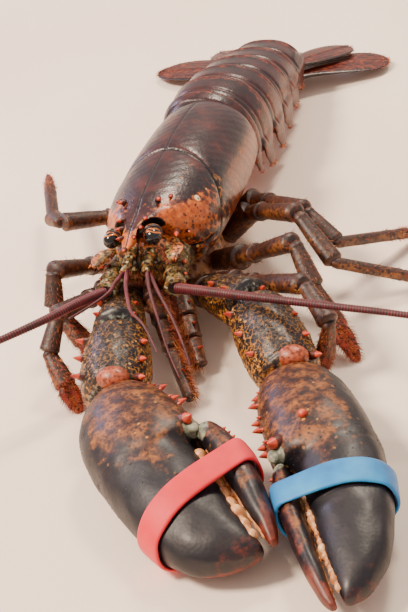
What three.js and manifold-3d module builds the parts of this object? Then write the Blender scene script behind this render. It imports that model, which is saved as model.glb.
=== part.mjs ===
// American lobster, Homarus americanus: a still life-size model, at rest on its belly with both claws banded.
// Millimetres, +Z up. The head points along -Y and the animal's left side is +X.
// The origin is on the floor under the middle of the breast plate.
import * as THREE from "three";
import { mergeVertices } from "three/addons/utils/BufferGeometryUtils.js";
import Module from "manifold-3d";

const wasm = await Module();
wasm.setup();

// Driving dimensions
const carapaceLength = 102; // eye socket to the rear edge
const rearEdge = 40; // y of the carapace's rear edge
const orbitY = rearEdge - carapaceLength;
const bodyTop = 60.2; // height of the back over the floor
const bodyHalfWidth = 25.2;
const bodyTurn = -2; // degrees about Z: the front of the body points a little to the animal's right
const bodyLean = -6; // degrees about Y: and its back leans to the right
const jointGap = 0.3; // between pieces that touch
const faceClearance = 0.8; // between the face plate and the curved inside of the carapace
const thinnestHalf = 0.25; // half of the thinnest that a limb may be
const cutAllowance = 1.5; // gaps that a neighbour is grown by before it cuts, as its corners grow less
const crusherLength = 107;
const pincerLength = 122;
const feelerRadius = 2.3; // antenna at its root
const bandWidth = 11;
const bandThickness = 1.3;
const bandClearance = 0.7; // under the band, where it bridges hollows of the shell

const shell = (color, roughness) => new THREE.MeshStandardMaterial({ color, roughness, metalness: 0 });
const materials = {
  back: shell("#4a2f2e", 0.3),
  claw: shell("#3c2a2c", 0.35),
  leg: shell("#6a4430", 0.45),
  tail: shell("#5a3430", 0.35),
  belly: shell("#b98a63", 0.55),
  feeler: shell("#6e2a33", 0.5),
  eye: shell("#0a0a0c", 0.08),
  face: shell("#8a6a45", 0.5),
  redBand: shell("#e8364a", 0.6),
  blueBand: shell("#2f9fc9", 0.6),
};

const lobster = new THREE.Group();

// Rows between the given ones, by uniform Catmull-Rom, with `steps` to each span.
function smoothRows(rows, steps) {
  const made = [];
  const last = rows.length - 1;
  for (let i = 0; i < last; i++) {
    const [a, b, c, d] = [rows[Math.max(i - 1, 0)], rows[i], rows[i + 1], rows[Math.min(i + 2, last)]];
    for (let k = 0; k < steps; k++) {
      const t = k / steps;
      made.push(
        b.map((_, j) => {
          const slopeB = (c[j] - a[j]) / 2;
          const slopeC = (d[j] - b[j]) / 2;
          const cubic = 2 * (b[j] - c[j]) + slopeB + slopeC;
          const square = 3 * (c[j] - b[j]) - 2 * slopeB - slopeC;
          return ((cubic * t + square) * t + slopeB) * t + b[j];
        }),
      );
    }
  }
  made.push(rows[last]);
  return made;
}

const vector = (p) => new THREE.Vector3(...p);
const radians = THREE.MathUtils.degToRad;
const mix = (a, b, t) => a.map((v, i) => v + (b[i] - v) * t);
const heading = (a, b) => vector(b).sub(vector(a)).normalize().toArray();

// A closed body through rings of equal count, each end closed by a fan, with its faces turned outwards.
function loft(rings) {
  const sides = rings[0].length;
  const vertices = rings.flat();
  const triangles = [];
  for (let i = 0; i + 1 < rings.length; i++)
    for (let k = 0; k < sides; k++) {
      const next = (k + 1) % sides;
      const [a, b, c, d] = [i * sides + k, i * sides + next, (i + 1) * sides + next, (i + 1) * sides + k];
      triangles.push([a, b, c], [a, c, d]);
    }
  const ends = [rings[0], rings[rings.length - 1]];
  ends.forEach((ring, end) => {
    const centre = vertices.length;
    const middle = new THREE.Vector3();
    ring.forEach((p) => middle.add(p));
    vertices.push(middle.divideScalar(sides));
    const first = end ? (rings.length - 1) * sides : 0;
    for (let k = 0; k < sides; k++) {
      const [a, b] = [first + k, first + ((k + 1) % sides)];
      triangles.push(end ? [a, b, centre] : [b, a, centre]);
    }
  });
  return closedSolid(vertices, triangles);
}

function closedSolid(vertices, triangles) {
  const crossed = new THREE.Vector3();
  const volume = triangles.reduce(
    (sum, [a, b, c]) => sum + vertices[a].dot(crossed.crossVectors(vertices[b], vertices[c])),
    0,
  );
  const turned = volume < 0 ? triangles.map(([a, b, c]) => [a, c, b]) : triangles;
  const geometry = new THREE.BufferGeometry().setFromPoints(vertices).setIndex(turned.flat());
  const merged = mergeVertices(geometry, 1e-4);
  return new wasm.Manifold(
    new wasm.Mesh({
      numProp: 3,
      vertProperties: merged.getAttribute("position").array,
      triVerts: new Uint32Array(merged.index.array),
    }),
  );
}

// One ring of a superellipse. power 2 is an ellipse, and more is squarer.
function ovalRing(centre, side, up, halfWidth, halfHeight, sides, power = 2) {
  return Array.from({ length: sides }, (_, k) => {
    const angle = (2 * Math.PI * k) / sides;
    const bend = (v) => Math.sign(v) * Math.abs(v) ** (2 / power);
    return centre
      .clone()
      .addScaledVector(side, bend(Math.cos(angle)) * halfWidth)
      .addScaledVector(up, bend(Math.sin(angle)) * halfHeight);
  });
}

// A limb or feeler. Each row is [x, y, z, half width, half height].
function limb(rows, { sides = 8, steps = 2, up = [0, 0, 1], power = 2 } = {}) {
  const fine = smoothRows(rows, steps);
  const upHint = vector(up);
  const rings = fine.map((row, i) => {
    const ahead = vector(fine[Math.min(i + 1, fine.length - 1)].slice(0, 3));
    const behind = vector(fine[Math.max(i - 1, 0)].slice(0, 3));
    const along = ahead.sub(behind).normalize();
    const side = new THREE.Vector3().crossVectors(along, upHint).normalize();
    const top = new THREE.Vector3().crossVectors(side, along);
    const [halfWidth, halfHeight] = row.slice(3).map((size) => Math.max(size, thinnestHalf));
    return ovalRing(vector(row.slice(0, 3)), side, top, halfWidth, halfHeight, sides, power);
  });
  return loft(rings);
}

// One limb segment from a to b, waisted at the root and widest near its far joint.
function segment(a, b, rootRadius, endRadius, { sides = 6, flat = 0.85 } = {}) {
  const row = (t, radius) => [...mix(a, b, t), radius, radius * flat];
  const rows = [
    row(0, rootRadius * 0.8),
    row(0.12, rootRadius),
    row(0.86, endRadius),
    row(1, endRadius * 0.72),
  ];
  return limb(rows, { sides, steps: 1 });
}

// A spine: a five-sided cone with its root sunk in the body that carries it.
function spine(base, direction, radius, length, sides = 5) {
  const along = vector(direction).normalize();
  const cone = new THREE.ConeGeometry(radius, length, sides, 1);
  cone.translate(0, length / 2 - length * 0.3, 0);
  cone.applyQuaternion(new THREE.Quaternion().setFromUnitVectors(new THREE.Vector3(0, 1, 0), along));
  cone.translate(...base);
  return fromGeometry(cone);
}

function knob(centre, radii, width = 8, height = 5) {
  const ball = new THREE.SphereGeometry(1, width, height);
  ball.scale(...radii);
  ball.translate(...centre);
  return fromGeometry(ball);
}

function fromGeometry(geometry) {
  geometry.deleteAttribute("normal");
  geometry.deleteAttribute("uv");
  const merged = mergeVertices(geometry, 1e-4);
  const position = merged.getAttribute("position");
  const vertices = [];
  for (let i = 0; i < position.count; i++) {
    vertices.push(new THREE.Vector3().fromBufferAttribute(position, i));
  }
  const index = merged.index.array;
  const triangles = [];
  for (let i = 0; i < index.length; i += 3) {
    const corner = [index[i], index[i + 1], index[i + 2]];
    if (new Set(corner).size === 3) triangles.push(corner);
  }
  return closedSolid(vertices, triangles);
}

const fuse = (...pieces) => largest(wasm.Manifold.union(pieces.flat()));
const largest = (solid) => solid.decompose().sort((a, b) => b.volume() - a.volume())[0];
// Keeps the side of the plane that its normal points to, half a joint gap clear of it.
const keepBeyond = (solid, point, normal) => {
  const unit = vector(normal).normalize();
  return largest(solid.trimByPlane([unit.x, unit.y, unit.z], unit.dot(vector(point)) + jointGap / 2));
};
const onFloor = (solid) => largest(solid.trimByPlane([0, 0, 1], 0));

const cornerOf = ({ vertProperties, numProp }, i) =>
  new THREE.Vector3(...vertProperties.slice(i * numProp, i * numProp + 3));

// The solid grown outwards by `by`, each corner along its mean normal.
function grown(solid, by) {
  const mesh = solid.getMesh();
  const points = Array.from({ length: mesh.numVert }, (_, i) => cornerOf(mesh, i));
  const normals = points.map(() => new THREE.Vector3());
  const triangles = [];
  for (let i = 0; i < mesh.triVerts.length; i += 3) {
    const [a, b, c] = mesh.triVerts.slice(i, i + 3);
    triangles.push([a, b, c]);
    const face = new THREE.Vector3()
      .crossVectors(points[b].clone().sub(points[a]), points[c].clone().sub(points[a]))
      .normalize();
    const corners = [[a, b, c], [b, c, a], [c, a, b]];
    corners.forEach(([p, q, r]) => {
      const angle = points[q].clone().sub(points[p]).angleTo(points[r].clone().sub(points[p]));
      if (Number.isFinite(angle)) normals[p].addScaledVector(face, angle);
    });
  }
  const moved = points.map((p, i) => p.clone().addScaledVector(normals[i].normalize(), by));
  return closedSolid(moved, triangles);
}

// The solid cut back so that it clears each neighbour by a joint gap.
const clearOf = (solid, ...neighbours) => {
  let left = solid;
  for (const other of neighbours) left = left.subtract(grown(other, jointGap * cutAllowance));
  return largest(left);
};

function addNode(name, solid, material, parent = lobster) {
  const mesh = solid.getMesh();
  const positions = new Float32Array(mesh.numVert * 3);
  for (let i = 0; i < mesh.numVert; i++) {
    positions.set(cornerOf(mesh, i).toArray(), i * 3);
  }
  const geometry = new THREE.BufferGeometry()
    .setAttribute("position", new THREE.BufferAttribute(positions, 3))
    .setIndex(new THREE.BufferAttribute(new Uint32Array(mesh.triVerts), 1));
  geometry.computeVertexNormals();
  const made = new THREE.Mesh(geometry, material);
  made.name = name;
  parent.add(made);
  return made;
}

// Carapace: rings from the rear edge to the rostrum's tip.
// Each row is [y at the top, half width, top, low edge, height of the widest part, lag of the low edge].
const grooveY = -13;
const carapaceRows = [
  [rearEdge, 20.5, 55.2, 24, 37, 0],
  [rearEdge - 5, 23, 57.3, 20.5, 37, 2],
  [22, 24.7, 59.3, 18.8, 36, -3],
  [2, bodyHalfWidth, bodyTop, 18, 36, -13],
  [grooveY + 4, bodyHalfWidth - 0.2, bodyTop - 0.4, 18.2, 37, -27],
  [grooveY, bodyHalfWidth - 1.2, bodyTop - 2, 19, 37, -30],
  [grooveY - 4, bodyHalfWidth - 0.4, bodyTop - 0.9, 19.3, 37, -27.5],
  [-32, 23.8, 58.4, 20.3, 38, -14],
  [-46, 21.4, 56.9, 21.5, 39, -1.5],
  [orbitY + 6, 17.8, 55.2, 23, 40, 7.5],
  [orbitY, 14, 54, 25, 41, 12],
];
const rostrumRows = [
  [orbitY + 8, 14.5, 55, 45, 49.5, 0],
  [orbitY, 8.6, 54.2, 46.5, 50, 0],
  [orbitY - 7, 5.2, 52.9, 46.8, 49.6, 0],
  [orbitY - 12, 3.4, 51.4, 46.8, 48.8, 0],
  [orbitY - 16, 2, 50, 46.9, 48.2, 0],
  [orbitY - 18.6, 0.5, 48.9, 47.9, 48.4, 0],
];

function carapaceRing([y, halfWidth, top, low, middle, lean], sides) {
  return Array.from({ length: sides }, (_, k) => {
    const angle = (2 * Math.PI * k) / sides;
    const across = Math.sin(angle);
    const height = Math.cos(angle);
    const x = halfWidth * Math.sign(across) * Math.abs(across) ** (height > 0 ? 1.04 : 0.86);
    const reach = height > 0 ? (top - middle) * height : (low - middle) * Math.abs(height) ** 0.7;
    const z = middle + reach;
    const down = (top - z) / (top - low);
    return new THREE.Vector3(x, y + lean * down, z);
  });
}

const eyeCentre = [8.4, orbitY - 6, 48.2];
const eyeRadius = 4.1;
const eyeSocket = [6.2, 8, 5.4]; // half sizes of the hollow round each eye
const bodyPivot = [0, 0, 40];
const bodyShift = [1.1, 0.9, 0.3];
const bodyMatrix = new THREE.Matrix4()
  .makeTranslation(...bodyPivot.map((v, i) => v + bodyShift[i]))
  .multiply(new THREE.Matrix4().makeRotationZ(radians(bodyTurn)))
  .multiply(new THREE.Matrix4().makeRotationY(radians(bodyLean)))
  .multiply(new THREE.Matrix4().makeTranslation(...bodyPivot.map((v) => -v)));
const onBody = (solid) => solid.transform(bodyMatrix.toArray());
const bodyPoint = (p) => vector(p).applyMatrix4(bodyMatrix).toArray();
const bothSides = (make) => [1, -1].map(make);

// Rows of [distance from the midline, y, z, radius, length] for the spines beside and behind the rostrum.
const faceSpines = [
  [8, orbitY + 10.5, 55.4, 1.5, 5],
  [5.2, orbitY - 1, 53.2, 1.4, 5.6],
  [4.4, orbitY - 6, 52, 1.4, 5.6],
  [2.9, orbitY - 11.5, 50.8, 1.2, 5],
];

function carapace() {
  const shellBody = loft(smoothRows(carapaceRows, 2).map((row) => carapaceRing(row, 16)));
  const rostrum = loft(rostrumRows.map((row) => carapaceRing(row, 10)));
  const spines = bothSides((side) =>
    faceSpines.map(([x, y, z, radius, length]) =>
      spine([side * x, y, z], [side * 0.55, -1, 0.45], radius, length),
    ),
  ).flat();
  const cheekSpines = bothSides((side) =>
    spine([side * 14.6, orbitY + 3, 43], [side * 0.35, -1, 0.2], 1.8, 8),
  );
  const sockets = bothSides((side) =>
    knob([side * eyeCentre[0], eyeCentre[1] + 1, eyeCentre[2]], eyeSocket, 10, 7),
  );
  const whole = fuse(shellBody, rostrum, spines, cheekSpines);
  return largest(whole.subtract(wasm.Manifold.union(sockets)));
}

// Breast plate with the leg roots, and its flat underside on the floor.
const sternumHalfWidth = 16;
const sternumFront = -54;
function sternum() {
  const rows = [
    [0, rearEdge - 3, 8, 9, 7.5],
    [0, rearEdge - 8, 8.5, 13, 9],
    [0, 10, 8.2, sternumHalfWidth, 9.2],
    [0, -25, 8.2, sternumHalfWidth - 0.5, 9.2],
    [0, sternumFront + 8, 8.4, 13.5, 9.2],
    [0, sternumFront, 9, 10, 7.5],
  ];
  return onFloor(limb(rows, { sides: 16, steps: 1, power: 3.2 }));
}

// The face under the rostrum, which carries the eyes, feelers and mouth parts.
function facePlate() {
  const rows = [
    [0, sternumFront + 6, 28, 15.5, 10],
    [0, orbitY + 3, 33, 14.5, 10.5],
    [0, orbitY - 3, 37, 12.5, 8.8],
    [0, orbitY - 7, 39, 8.5, 5.5],
  ];
  return limb(rows, { sides: 14, steps: 1, power: 2.6 });
}

// Abdomen: six rings, each narrower at the front where it runs under the one ahead.
const tailStart = rearEdge + 1;
const ringLengths = [11, 20, 20, 22, 22, 22];
const ringHalfWidths = [21.5, 23, 24, 23.4, 22, 19.8];
const ringTops = [55, 54.6, 52, 47.5, 42, 36];
const ringLows = [15, 14, 13, 12, 11.5, 11];
const pleuronTips = [13.5, 9, 8.5, 8.5, 8.5, 8.5];
const tailDrift = 3; // how far the tail's end lies to the animal's left
const tailLength = ringLengths.reduce((a, b) => a + b, 0);
// The tail's middle and lean at y: it carries on the lean of the back and loses it by its end.
function tailSkew(x, y, z) {
  const share = (y - tailStart) / tailLength;
  const lean = Math.tan(radians(bodyLean)) * Math.max(0, 1 - share);
  return new THREE.Vector3(x + tailDrift * share ** 2 + (z - 34) * lean, y, z);
}

function archRing(y, halfWidth, top, low, sides, flatBelly = 0.62) {
  const middle = low + (top - low) * 0.42;
  return Array.from({ length: sides }, (_, k) => {
    const angle = (2 * Math.PI * k) / sides;
    const across = Math.sin(angle);
    const height = Math.cos(angle);
    const x = halfWidth * Math.sign(across) * Math.abs(across) ** 0.86;
    const fall = (low - middle) * Math.abs(height) ** flatBelly;
    const z = middle + (height > 0 ? (top - middle) * height : fall);
    return tailSkew(x, y, z);
  });
}

function abdomenRing(index) {
  const from = tailStart + ringLengths.slice(0, index).reduce((a, b) => a + b, 0);
  const to = from + ringLengths[index] - jointGap;
  const [width, top, low] = [ringHalfWidths[index], ringTops[index], ringLows[index]];
  const nextTop = ringTops[index + 1] ?? top - 6;
  const nextWidth = ringHalfWidths[index + 1] ?? width - 3;
  const rows = [
    [from, width * 0.93, top - 2.2, low + 1.5],
    [from + (to - from) * 0.3, width * 0.985, top - 0.6, low + 0.4],
    [from + (to - from) * 0.75, (width + nextWidth) / 2 + 0.6, (top + nextTop) / 2 + 0.8, low],
    [to, (width + nextWidth) / 2, (top + nextTop) / 2 + 0.4, low + 0.3],
  ];
  const pieces = [loft(rows.map(([y, w, t, l]) => archRing(y, w, t, l, 14)))];
  bothSides((side) => pieces.push(pleuron(index, side, from, to)));
  if (index > 0 && index < 5) bothSides((side) => pieces.push(swimmeret(side, (from + to) / 2, low)));
  const body = fuse(pieces);
  const inFront = keepBeyond(body, [0, from - jointGap / 2, 0], [0, 1, 0]);
  return onFloor(keepBeyond(inFront, [0, to + jointGap / 2, 0], [0, -1, 0]));
}

// Side plate of a ring: a thin leaf that hangs from the flank and ends in a point near the floor.
function pleuron(index, side, from, to) {
  const length = to - from;
  const width = ringHalfWidths[index];
  const tip = pleuronTips[index];
  const middle = (from + to) / 2;
  const root = ringLows[index] + 12;
  const row = (x, y, z, thick, wide) => [...tailSkew(side * x, y, z), thick, wide];
  const rows = [
    row(width - 3.6, middle - 1, root + 5, 1.6, length * 0.34),
    row(width - 0.5, middle, root - 1, 1.6, length * 0.44),
    row(width - 1.4, middle + length * 0.16, tip + 2.6, 1, length * 0.2),
    row(width - 2, middle + length * 0.26, tip, 0.6, length * 0.06),
  ];
  return limb(rows, { sides: 6, steps: 1, up: [0, 1, 0] });
}

// Paddle under the tail.
function swimmeret(side, y, low) {
  const rows = [
    [side * 9, y - 3, low + 2.5, 3.2, 1.3],
    [side * 12, y + 1, low - 2, 4.4, 1],
    [side * 14, y + 6, low - 5.6, 2.6, 0.6],
  ];
  return limb(rows, { sides: 6, steps: 1 });
}

// Tail fan. Each blade is a flat leaf from its root to its tip.
const fanRoot = tailStart + tailLength;
// Shares of the length, and of the half width there.
const bladeShares = [
  [0, 0.3],
  [0.14, 0.5],
  [0.36, 0.86],
  [0.62, 1],
  [0.84, 0.86],
  [0.96, 0.52],
  [1, 0.22],
];
function blade(root, bend, tip, halfWidth, thickness) {
  const line = new THREE.QuadraticBezierCurve3(vector(root), vector(bend), vector(tip));
  const rows = bladeShares.map(([t, width]) => [
    ...line.getPoint(t),
    halfWidth * width,
    thickness * (1 - 0.6 * t),
  ]);
  return limb(rows, { sides: 10, steps: 1, power: 2.3 });
}

// Stalked eye
const eyeStalkRoot = [5.4, orbitY - 0.5, 45.6];
const eyeSolid = (side) =>
  knob(
    [side * (eyeCentre[0] + 0.8), eyeCentre[1] - 1.6, eyeCentre[2]],
    [eyeRadius, eyeRadius * 0.92, eyeRadius * 0.98],
    10,
    7,
  );
const stalkSolid = (side) =>
  limb(
    [
      [side * eyeStalkRoot[0], eyeStalkRoot[1], eyeStalkRoot[2] - 1.5, 2.4, 2.4],
      [side * (eyeStalkRoot[0] + 1.2), eyeStalkRoot[1] - 3, eyeStalkRoot[2] - 0.4, 2.8, 2.8],
      [side * eyeCentre[0], eyeCentre[1] + 0.6, eyeCentre[2], 3.9, 3.8],
      [side * (eyeCentre[0] + 0.6), eyeCentre[1] - 1, eyeCentre[2], 3.4, 3.3],
    ],
    { sides: 8, steps: 1 },
  );

// Antenna: three stout base segments, a leaf-like scale beside them, and the long ringed feeler.
const antennaRoot = [12.5, orbitY - 1, 32];
const antennaEnds = { left: [17.2, -82.6, 33.4], right: [-11.8, -84.4, 32.8] };
function antennaBase(side, end) {
  const root = bodyPoint([side * antennaRoot[0], antennaRoot[1], antennaRoot[2]]);
  return fuse(
    segment(mix(root, end, -0.25), mix(root, end, 0.3), 4.6, 5.5, { sides: 7, flat: 0.9 }),
    segment(mix(root, end, 0.22), mix(root, end, 0.62), 4.2, 4.9, { sides: 7, flat: 0.9 }),
    segment(mix(root, end, 0.55), end, 3.6, 4.4, { sides: 7, flat: 0.9 }),
    spine([root[0] + side * 4.6, root[1] - 4, root[2] + 2.5], [side * 0.7, -1, 0.3], 1.3, 5.5),
  );
}
const antennaScale = (side) =>
  fuse(
    limb(
      [
        [side * 13, orbitY - 1, 39.6, 2.4, 1.2],
        [side * 15.4, orbitY - 5, 40.6, 3.8, 1.1],
        [side * 16.6, orbitY - 10, 40.8, 3.2, 0.9],
        [side * 17, orbitY - 14.5, 40.4, 1, 0.6],
      ],
      { sides: 8, steps: 1 },
    ),
    spine([side * 18.2, orbitY - 11, 40.6], [side * 0.25, -1, 0], 1, 6.5),
  );

const feelerPaths = {
  left: [
    [18.2, -82.9, 33.5],
    [32, -89.5, 36.2],
    [51, -96.5, 38.2],
    [84, -105.5, 39.6],
    [115, -112.5, 39.8],
    [158, -119, 36],
    [202, -121, 27],
    [240, -117, 14],
    [254, -113, 8],
  ],
  right: [
    [-12.4, -85.4, 33.2],
    [-18, -97.5, 36.6],
    [-26.5, -112.5, 38.8],
    [-40, -129, 40],
    [-63, -151, 40.2],
    [-92, -177, 36],
    [-122, -197, 27],
    [-150, -213, 15],
    [-162, -219, 9],
  ],
};
const feeler = (path) =>
  limb(
    path.map((p, i) => {
      const radius = feelerRadius * (1 - 0.78 * (i / (path.length - 1)));
      return [...p, radius, radius];
    }),
    { sides: 6, steps: 2 },
  );

// Antennule: a short base with two thin whips.
const whipPaths = {
  left: [
    [
      [4.6, -77, 39],
      [9, -90, 37.5],
      [15.5, -104, 32.5],
      [22, -117, 27],
      [28.5, -128, 22.5],
    ],
    [
      [5.2, -77, 38],
      [12, -89, 36],
      [20.5, -102, 32],
      [27, -113, 27.5],
      [31.5, -122, 24],
    ],
  ],
  right: [
    [
      [-3.6, -77, 39],
      [0.5, -92, 41.4],
      [6.5, -108, 44.4],
      [11.5, -119, 46],
      [18.5, -127, 45.2],
      [27, -141, 43.4],
    ],
    [
      [-4.4, -77, 38.2],
      [-4.5, -90, 41],
      [-3.4, -101, 43.4],
      [-7.5, -110, 43.6],
      [-15, -117, 42],
    ],
  ],
};
function antennule(side, whips) {
  const base = limb(
    [
      [side * 3.8, orbitY - 4, 42, 2.6, 2.4],
      [side * 4, orbitY - 9, 41, 2.5, 2.2],
      [side * 4.3, orbitY - 15, 39, 2.1, 1.9],
      [side * 4.6, orbitY - 17.5, 38.3, 1.3, 1.2],
    ],
    { sides: 8, steps: 1 },
  );
  const threads = whips.map((path) =>
    limb(
      path.map((p, i) => {
        const radius = 1 - (0.62 * i) / (path.length - 1);
        return [...p, radius, radius];
      }),
      { sides: 5, steps: 1 },
    ),
  );
  return fuse(base, threads);
}

// Outer mouth part, a small leg with a bristled inner edge.
const mouthLegPaths = {
  left: [
    [6, -56, 20],
    [13, -66, 18.5],
    [17.5, -76, 15],
    [21.5, -85.5, 11],
    [26.5, -96, 5],
  ],
  right: [
    [-3, -56, 20],
    [2.8, -70.6, 20],
    [9, -83, 17.5],
    [15.5, -96, 13],
    [27.5, -118, 4.5],
  ],
};
function mouthLeg(path) {
  const radii = [3.6, 4.3, 3.9, 3.3, 2.4];
  const pieces = path.slice(0, -1).map((p, i) => segment(p, path[i + 1], radii[i], radii[i + 1] * 1.15));
  for (let i = 1; i < path.length - 1; i++) {
    const at = mix(path[i], path[i + 1], 0.5);
    pieces.push(spine([at[0] + 1.2, at[1], at[2] + 2.2], [0.9, -0.5, 0.7], 0.9, 5.5, 4));
  }
  return fuse(pieces);
}

// Walking legs, from the root at the breast plate to the tip. The first two pairs end in small pincers.
const floorDip = -0.6; // tips reach below the floor, so that the cut there leaves a small flat
const legPaths = {
  leg_2_left: {
    root: [15, -42, 9],
    hip: [33, -53, 17],
    knee: [69.5, -82, 34.5],
    wrist: [81.5, -98.5, 27],
    tip: [75, -95, floorDip],
    pincer: true,
  },
  leg_3_left: {
    root: [15.5, -22, 9],
    hip: [32, -36, 19],
    knee: [60.5, -55, 37.5],
    wrist: [69.8, -68, 24],
    tip: [87.5, -85, floorDip],
    pincer: true,
  },
  leg_4_left: {
    root: [15.5, -3, 9],
    hip: [28, 0, 21],
    knee: [56.5, -29, 36],
    wrist: [74, -45.5, 21.5],
    tip: [118, -29, floorDip],
  },
  leg_5_left: {
    root: [14, 15, 9],
    hip: [28, 12, 20],
    knee: [57.5, -19.5, 32],
    wrist: [72, -29.5, 21.5],
    tip: [104, 16, floorDip],
  },
  leg_2_right: {
    root: [-15, -42, 9],
    hip: [-26, -57, 15],
    knee: [-30, -95, 29],
    wrist: [-33, -105, 17.5],
    tip: [-18.5, -121, floorDip],
    pincer: true,
  },
  leg_3_right: {
    root: [-15.5, -22, 9],
    hip: [-30, -37, 17],
    knee: [-39, -70, 34.5],
    wrist: [-39, -77.5, 21],
    tip: [-15.5, -91.5, floorDip],
    pincer: true,
  },
  leg_4_right: {
    root: [-15.5, -3, 9],
    hip: [-31, 0, 20],
    knee: [-53, -20, 28.5],
    wrist: [-62, -8, 24],
    tip: [-81.5, 40.5, 20],
  },
  leg_5_right: {
    root: [-14, 15, 9],
    hip: [-26, 20, 14],
    knee: [-34, 42, 20],
    wrist: [-38, 56, 15],
    tip: [-46, 92, floorDip],
  },
};

function upperLeg({ root, hip, knee }) {
  return fuse(
    segment(root, mix(root, hip, 1.05), 5.2, 5.9, { flat: 0.92 }),
    segment(mix(root, hip, 0.85), mix(hip, knee, 0.3), 4.4, 4.8),
    segment(mix(hip, knee, 0.22), knee, 4.2, 4.8),
  );
}

function lowerLeg({ knee, wrist, tip, pincer }) {
  const beyond = mix(wrist, tip, pincer ? 0.58 : 0.6);
  const pieces = [
    segment(mix(knee, wrist, 0.02), wrist, 3.5, 4.3),
    segment(mix(wrist, tip, -0.04), beyond, 3.2, pincer ? 4.4 : 3, { flat: 0.8 }),
  ];
  const along = vector(tip).sub(vector(wrist)).normalize();
  const aside = new THREE.Vector3(-along.y, along.x, 0).normalize();
  const finger = (spread, radius) => {
    const off = (t, share) => {
      const p = mix(beyond, tip, t);
      return [p[0] + aside.x * spread * share, p[1] + aside.y * spread * share, p[2]];
    };
    return limb(
      [
        [...off(-0.22, 0.6), radius * 0.9, radius * 0.8],
        [...off(0.25, 1), radius, radius * 0.85],
        [...off(0.7, 0.8), radius * 0.72, radius * 0.65],
        [...off(1.02, 0.35), radius * 0.34, radius * 0.34],
      ],
      { sides: 6, steps: 1 },
    );
  };
  if (pincer) pieces.push(finger(1.9, 2.3), finger(-1.9, 2.1));
  else pieces.push(finger(0, 2.7));
  return fuse(pieces);
}

// Big claws. Each is shaped in its own frame: +X from the wrist to the tips, +Y to the moving finger's side.
// Outline rows are [x, outer edge, inner edge, half thickness, height of the middle], in shares of length.
const clawShapes = {
  crusher: {
    length: crusherLength,
    palm: [
      [0, -0.075, 0.07, 0.076, 0],
      [0.05, -0.15, 0.105, 0.105, 0.004],
      [0.13, -0.21, 0.13, 0.133, 0.008],
      [0.26, -0.25, 0.14, 0.147, 0.01],
      [0.39, -0.264, 0.135, 0.143, 0.008],
      [0.44, -0.268, 0.118, 0.137, 0.004],
      [0.47, -0.27, 0.075, 0.133, 0.002],
      [0.6, -0.273, 0.05, 0.122, -0.002],
      [0.74, -0.265, 0.03, 0.105, -0.008],
      [0.86, -0.235, 0.012, 0.084, -0.016],
      [0.93, -0.175, 0.004, 0.063, -0.026],
      [0.975, -0.1, 0, 0.038, -0.034],
      [0.99, -0.04, -0.008, 0.017, -0.038],
    ],
    finger: [
      [0.44, 0.1, 0.15, 0.059, 0.002],
      [0.48, 0.095, 0.18, 0.076, 0.002],
      [0.6, 0.075, 0.182, 0.08, -0.002],
      [0.73, 0.055, 0.158, 0.071, -0.008],
      [0.85, 0.036, 0.118, 0.057, -0.016],
      [0.94, 0.024, 0.08, 0.04, -0.024],
      [1, 0.016, 0.044, 0.017, -0.03],
    ],
    teeth: { count: 6, radius: 0.026, from: 0.55, to: 0.92 },
    innerSpines: 4,
  },
  pincer: {
    length: pincerLength,
    palm: [
      [0, -0.07, 0.07, 0.064, 0],
      [0.05, -0.115, 0.105, 0.088, 0.004],
      [0.15, -0.16, 0.122, 0.108, 0.008],
      [0.3, -0.195, 0.114, 0.116, 0.01],
      [0.42, -0.212, 0.104, 0.112, 0.006],
      [0.455, -0.216, 0.09, 0.106, 0.002],
      [0.48, -0.218, 0.042, 0.102, 0],
      [0.6, -0.217, 0.028, 0.088, -0.004],
      [0.74, -0.2, 0.014, 0.072, -0.01],
      [0.87, -0.165, 0, 0.054, -0.018],
      [0.955, -0.105, -0.012, 0.036, -0.028],
      [0.99, -0.05, -0.02, 0.016, -0.034],
    ],
    finger: [
      [0.46, 0.056, 0.092, 0.05, 0.002],
      [0.5, 0.052, 0.11, 0.061, 0.002],
      [0.62, 0.04, 0.105, 0.062, -0.002],
      [0.76, 0.025, 0.086, 0.054, -0.008],
      [0.88, 0.012, 0.063, 0.042, -0.016],
      [0.96, 0.003, 0.038, 0.027, -0.026],
      [1, -0.004, 0.016, 0.013, -0.032],
    ],
    teeth: { count: 7, radius: 0.014, from: 0.54, to: 0.93 },
    innerSpines: 6,
  },
};

const clawRing = ([x, outer, inner, thick, middle], length, sides, power) =>
  ovalRing(
    new THREE.Vector3(x * length, ((outer + inner) / 2) * length, middle * length),
    new THREE.Vector3(0, 1, 0),
    new THREE.Vector3(0, 0, 1),
    ((inner - outer) / 2) * length,
    thick * length,
    sides,
    power,
  );

function clawPalm({ length, palm, teeth, innerSpines }) {
  const pieces = [loft(palm.map((row) => clawRing(row, length, 15, 2.15)))];
  for (let i = 0; i < teeth.count; i++) {
    const x = teeth.from + ((teeth.to - teeth.from) * i) / (teeth.count - 1);
    const edge = edgeAt(palm, x, 2) - teeth.radius * 0.25;
    const size = teeth.radius * (1 - 0.4 * (i / teeth.count)) * length;
    const place = [x, edge, edgeAt(palm, x, 4)].map((share) => share * length);
    pieces.push(knob(place, [size * 1.3, size, size * 1.1], 5, 3));
  }
  for (let i = 0; i < innerSpines; i++) {
    const x = 0.07 + 0.062 * i;
    const inner = edgeAt(palm, x, 2);
    const height = 0.012 + 0.02 * (i % 2);
    pieces.push(spine([x * length, (inner - 0.004) * length, height * length], [0.45, 1, 0.25], 2, 6));
  }
  const knuckle = edgeAt(palm, 0.41, 2) - 0.03;
  pieces.push(spine([0.41 * length, knuckle * length, 0.085 * length], [0.6, 0.5, 0.6], 3.2, 7, 6));
  return fuse(pieces);
}

function edgeAt(rows, x, column) {
  const i = Math.max(1, rows.findIndex((row) => row[0] >= x));
  const [a, b] = [rows[i - 1], rows[i]];
  return a[column] + ((b[column] - a[column]) * (x - a[0])) / (b[0] - a[0]);
}

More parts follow.
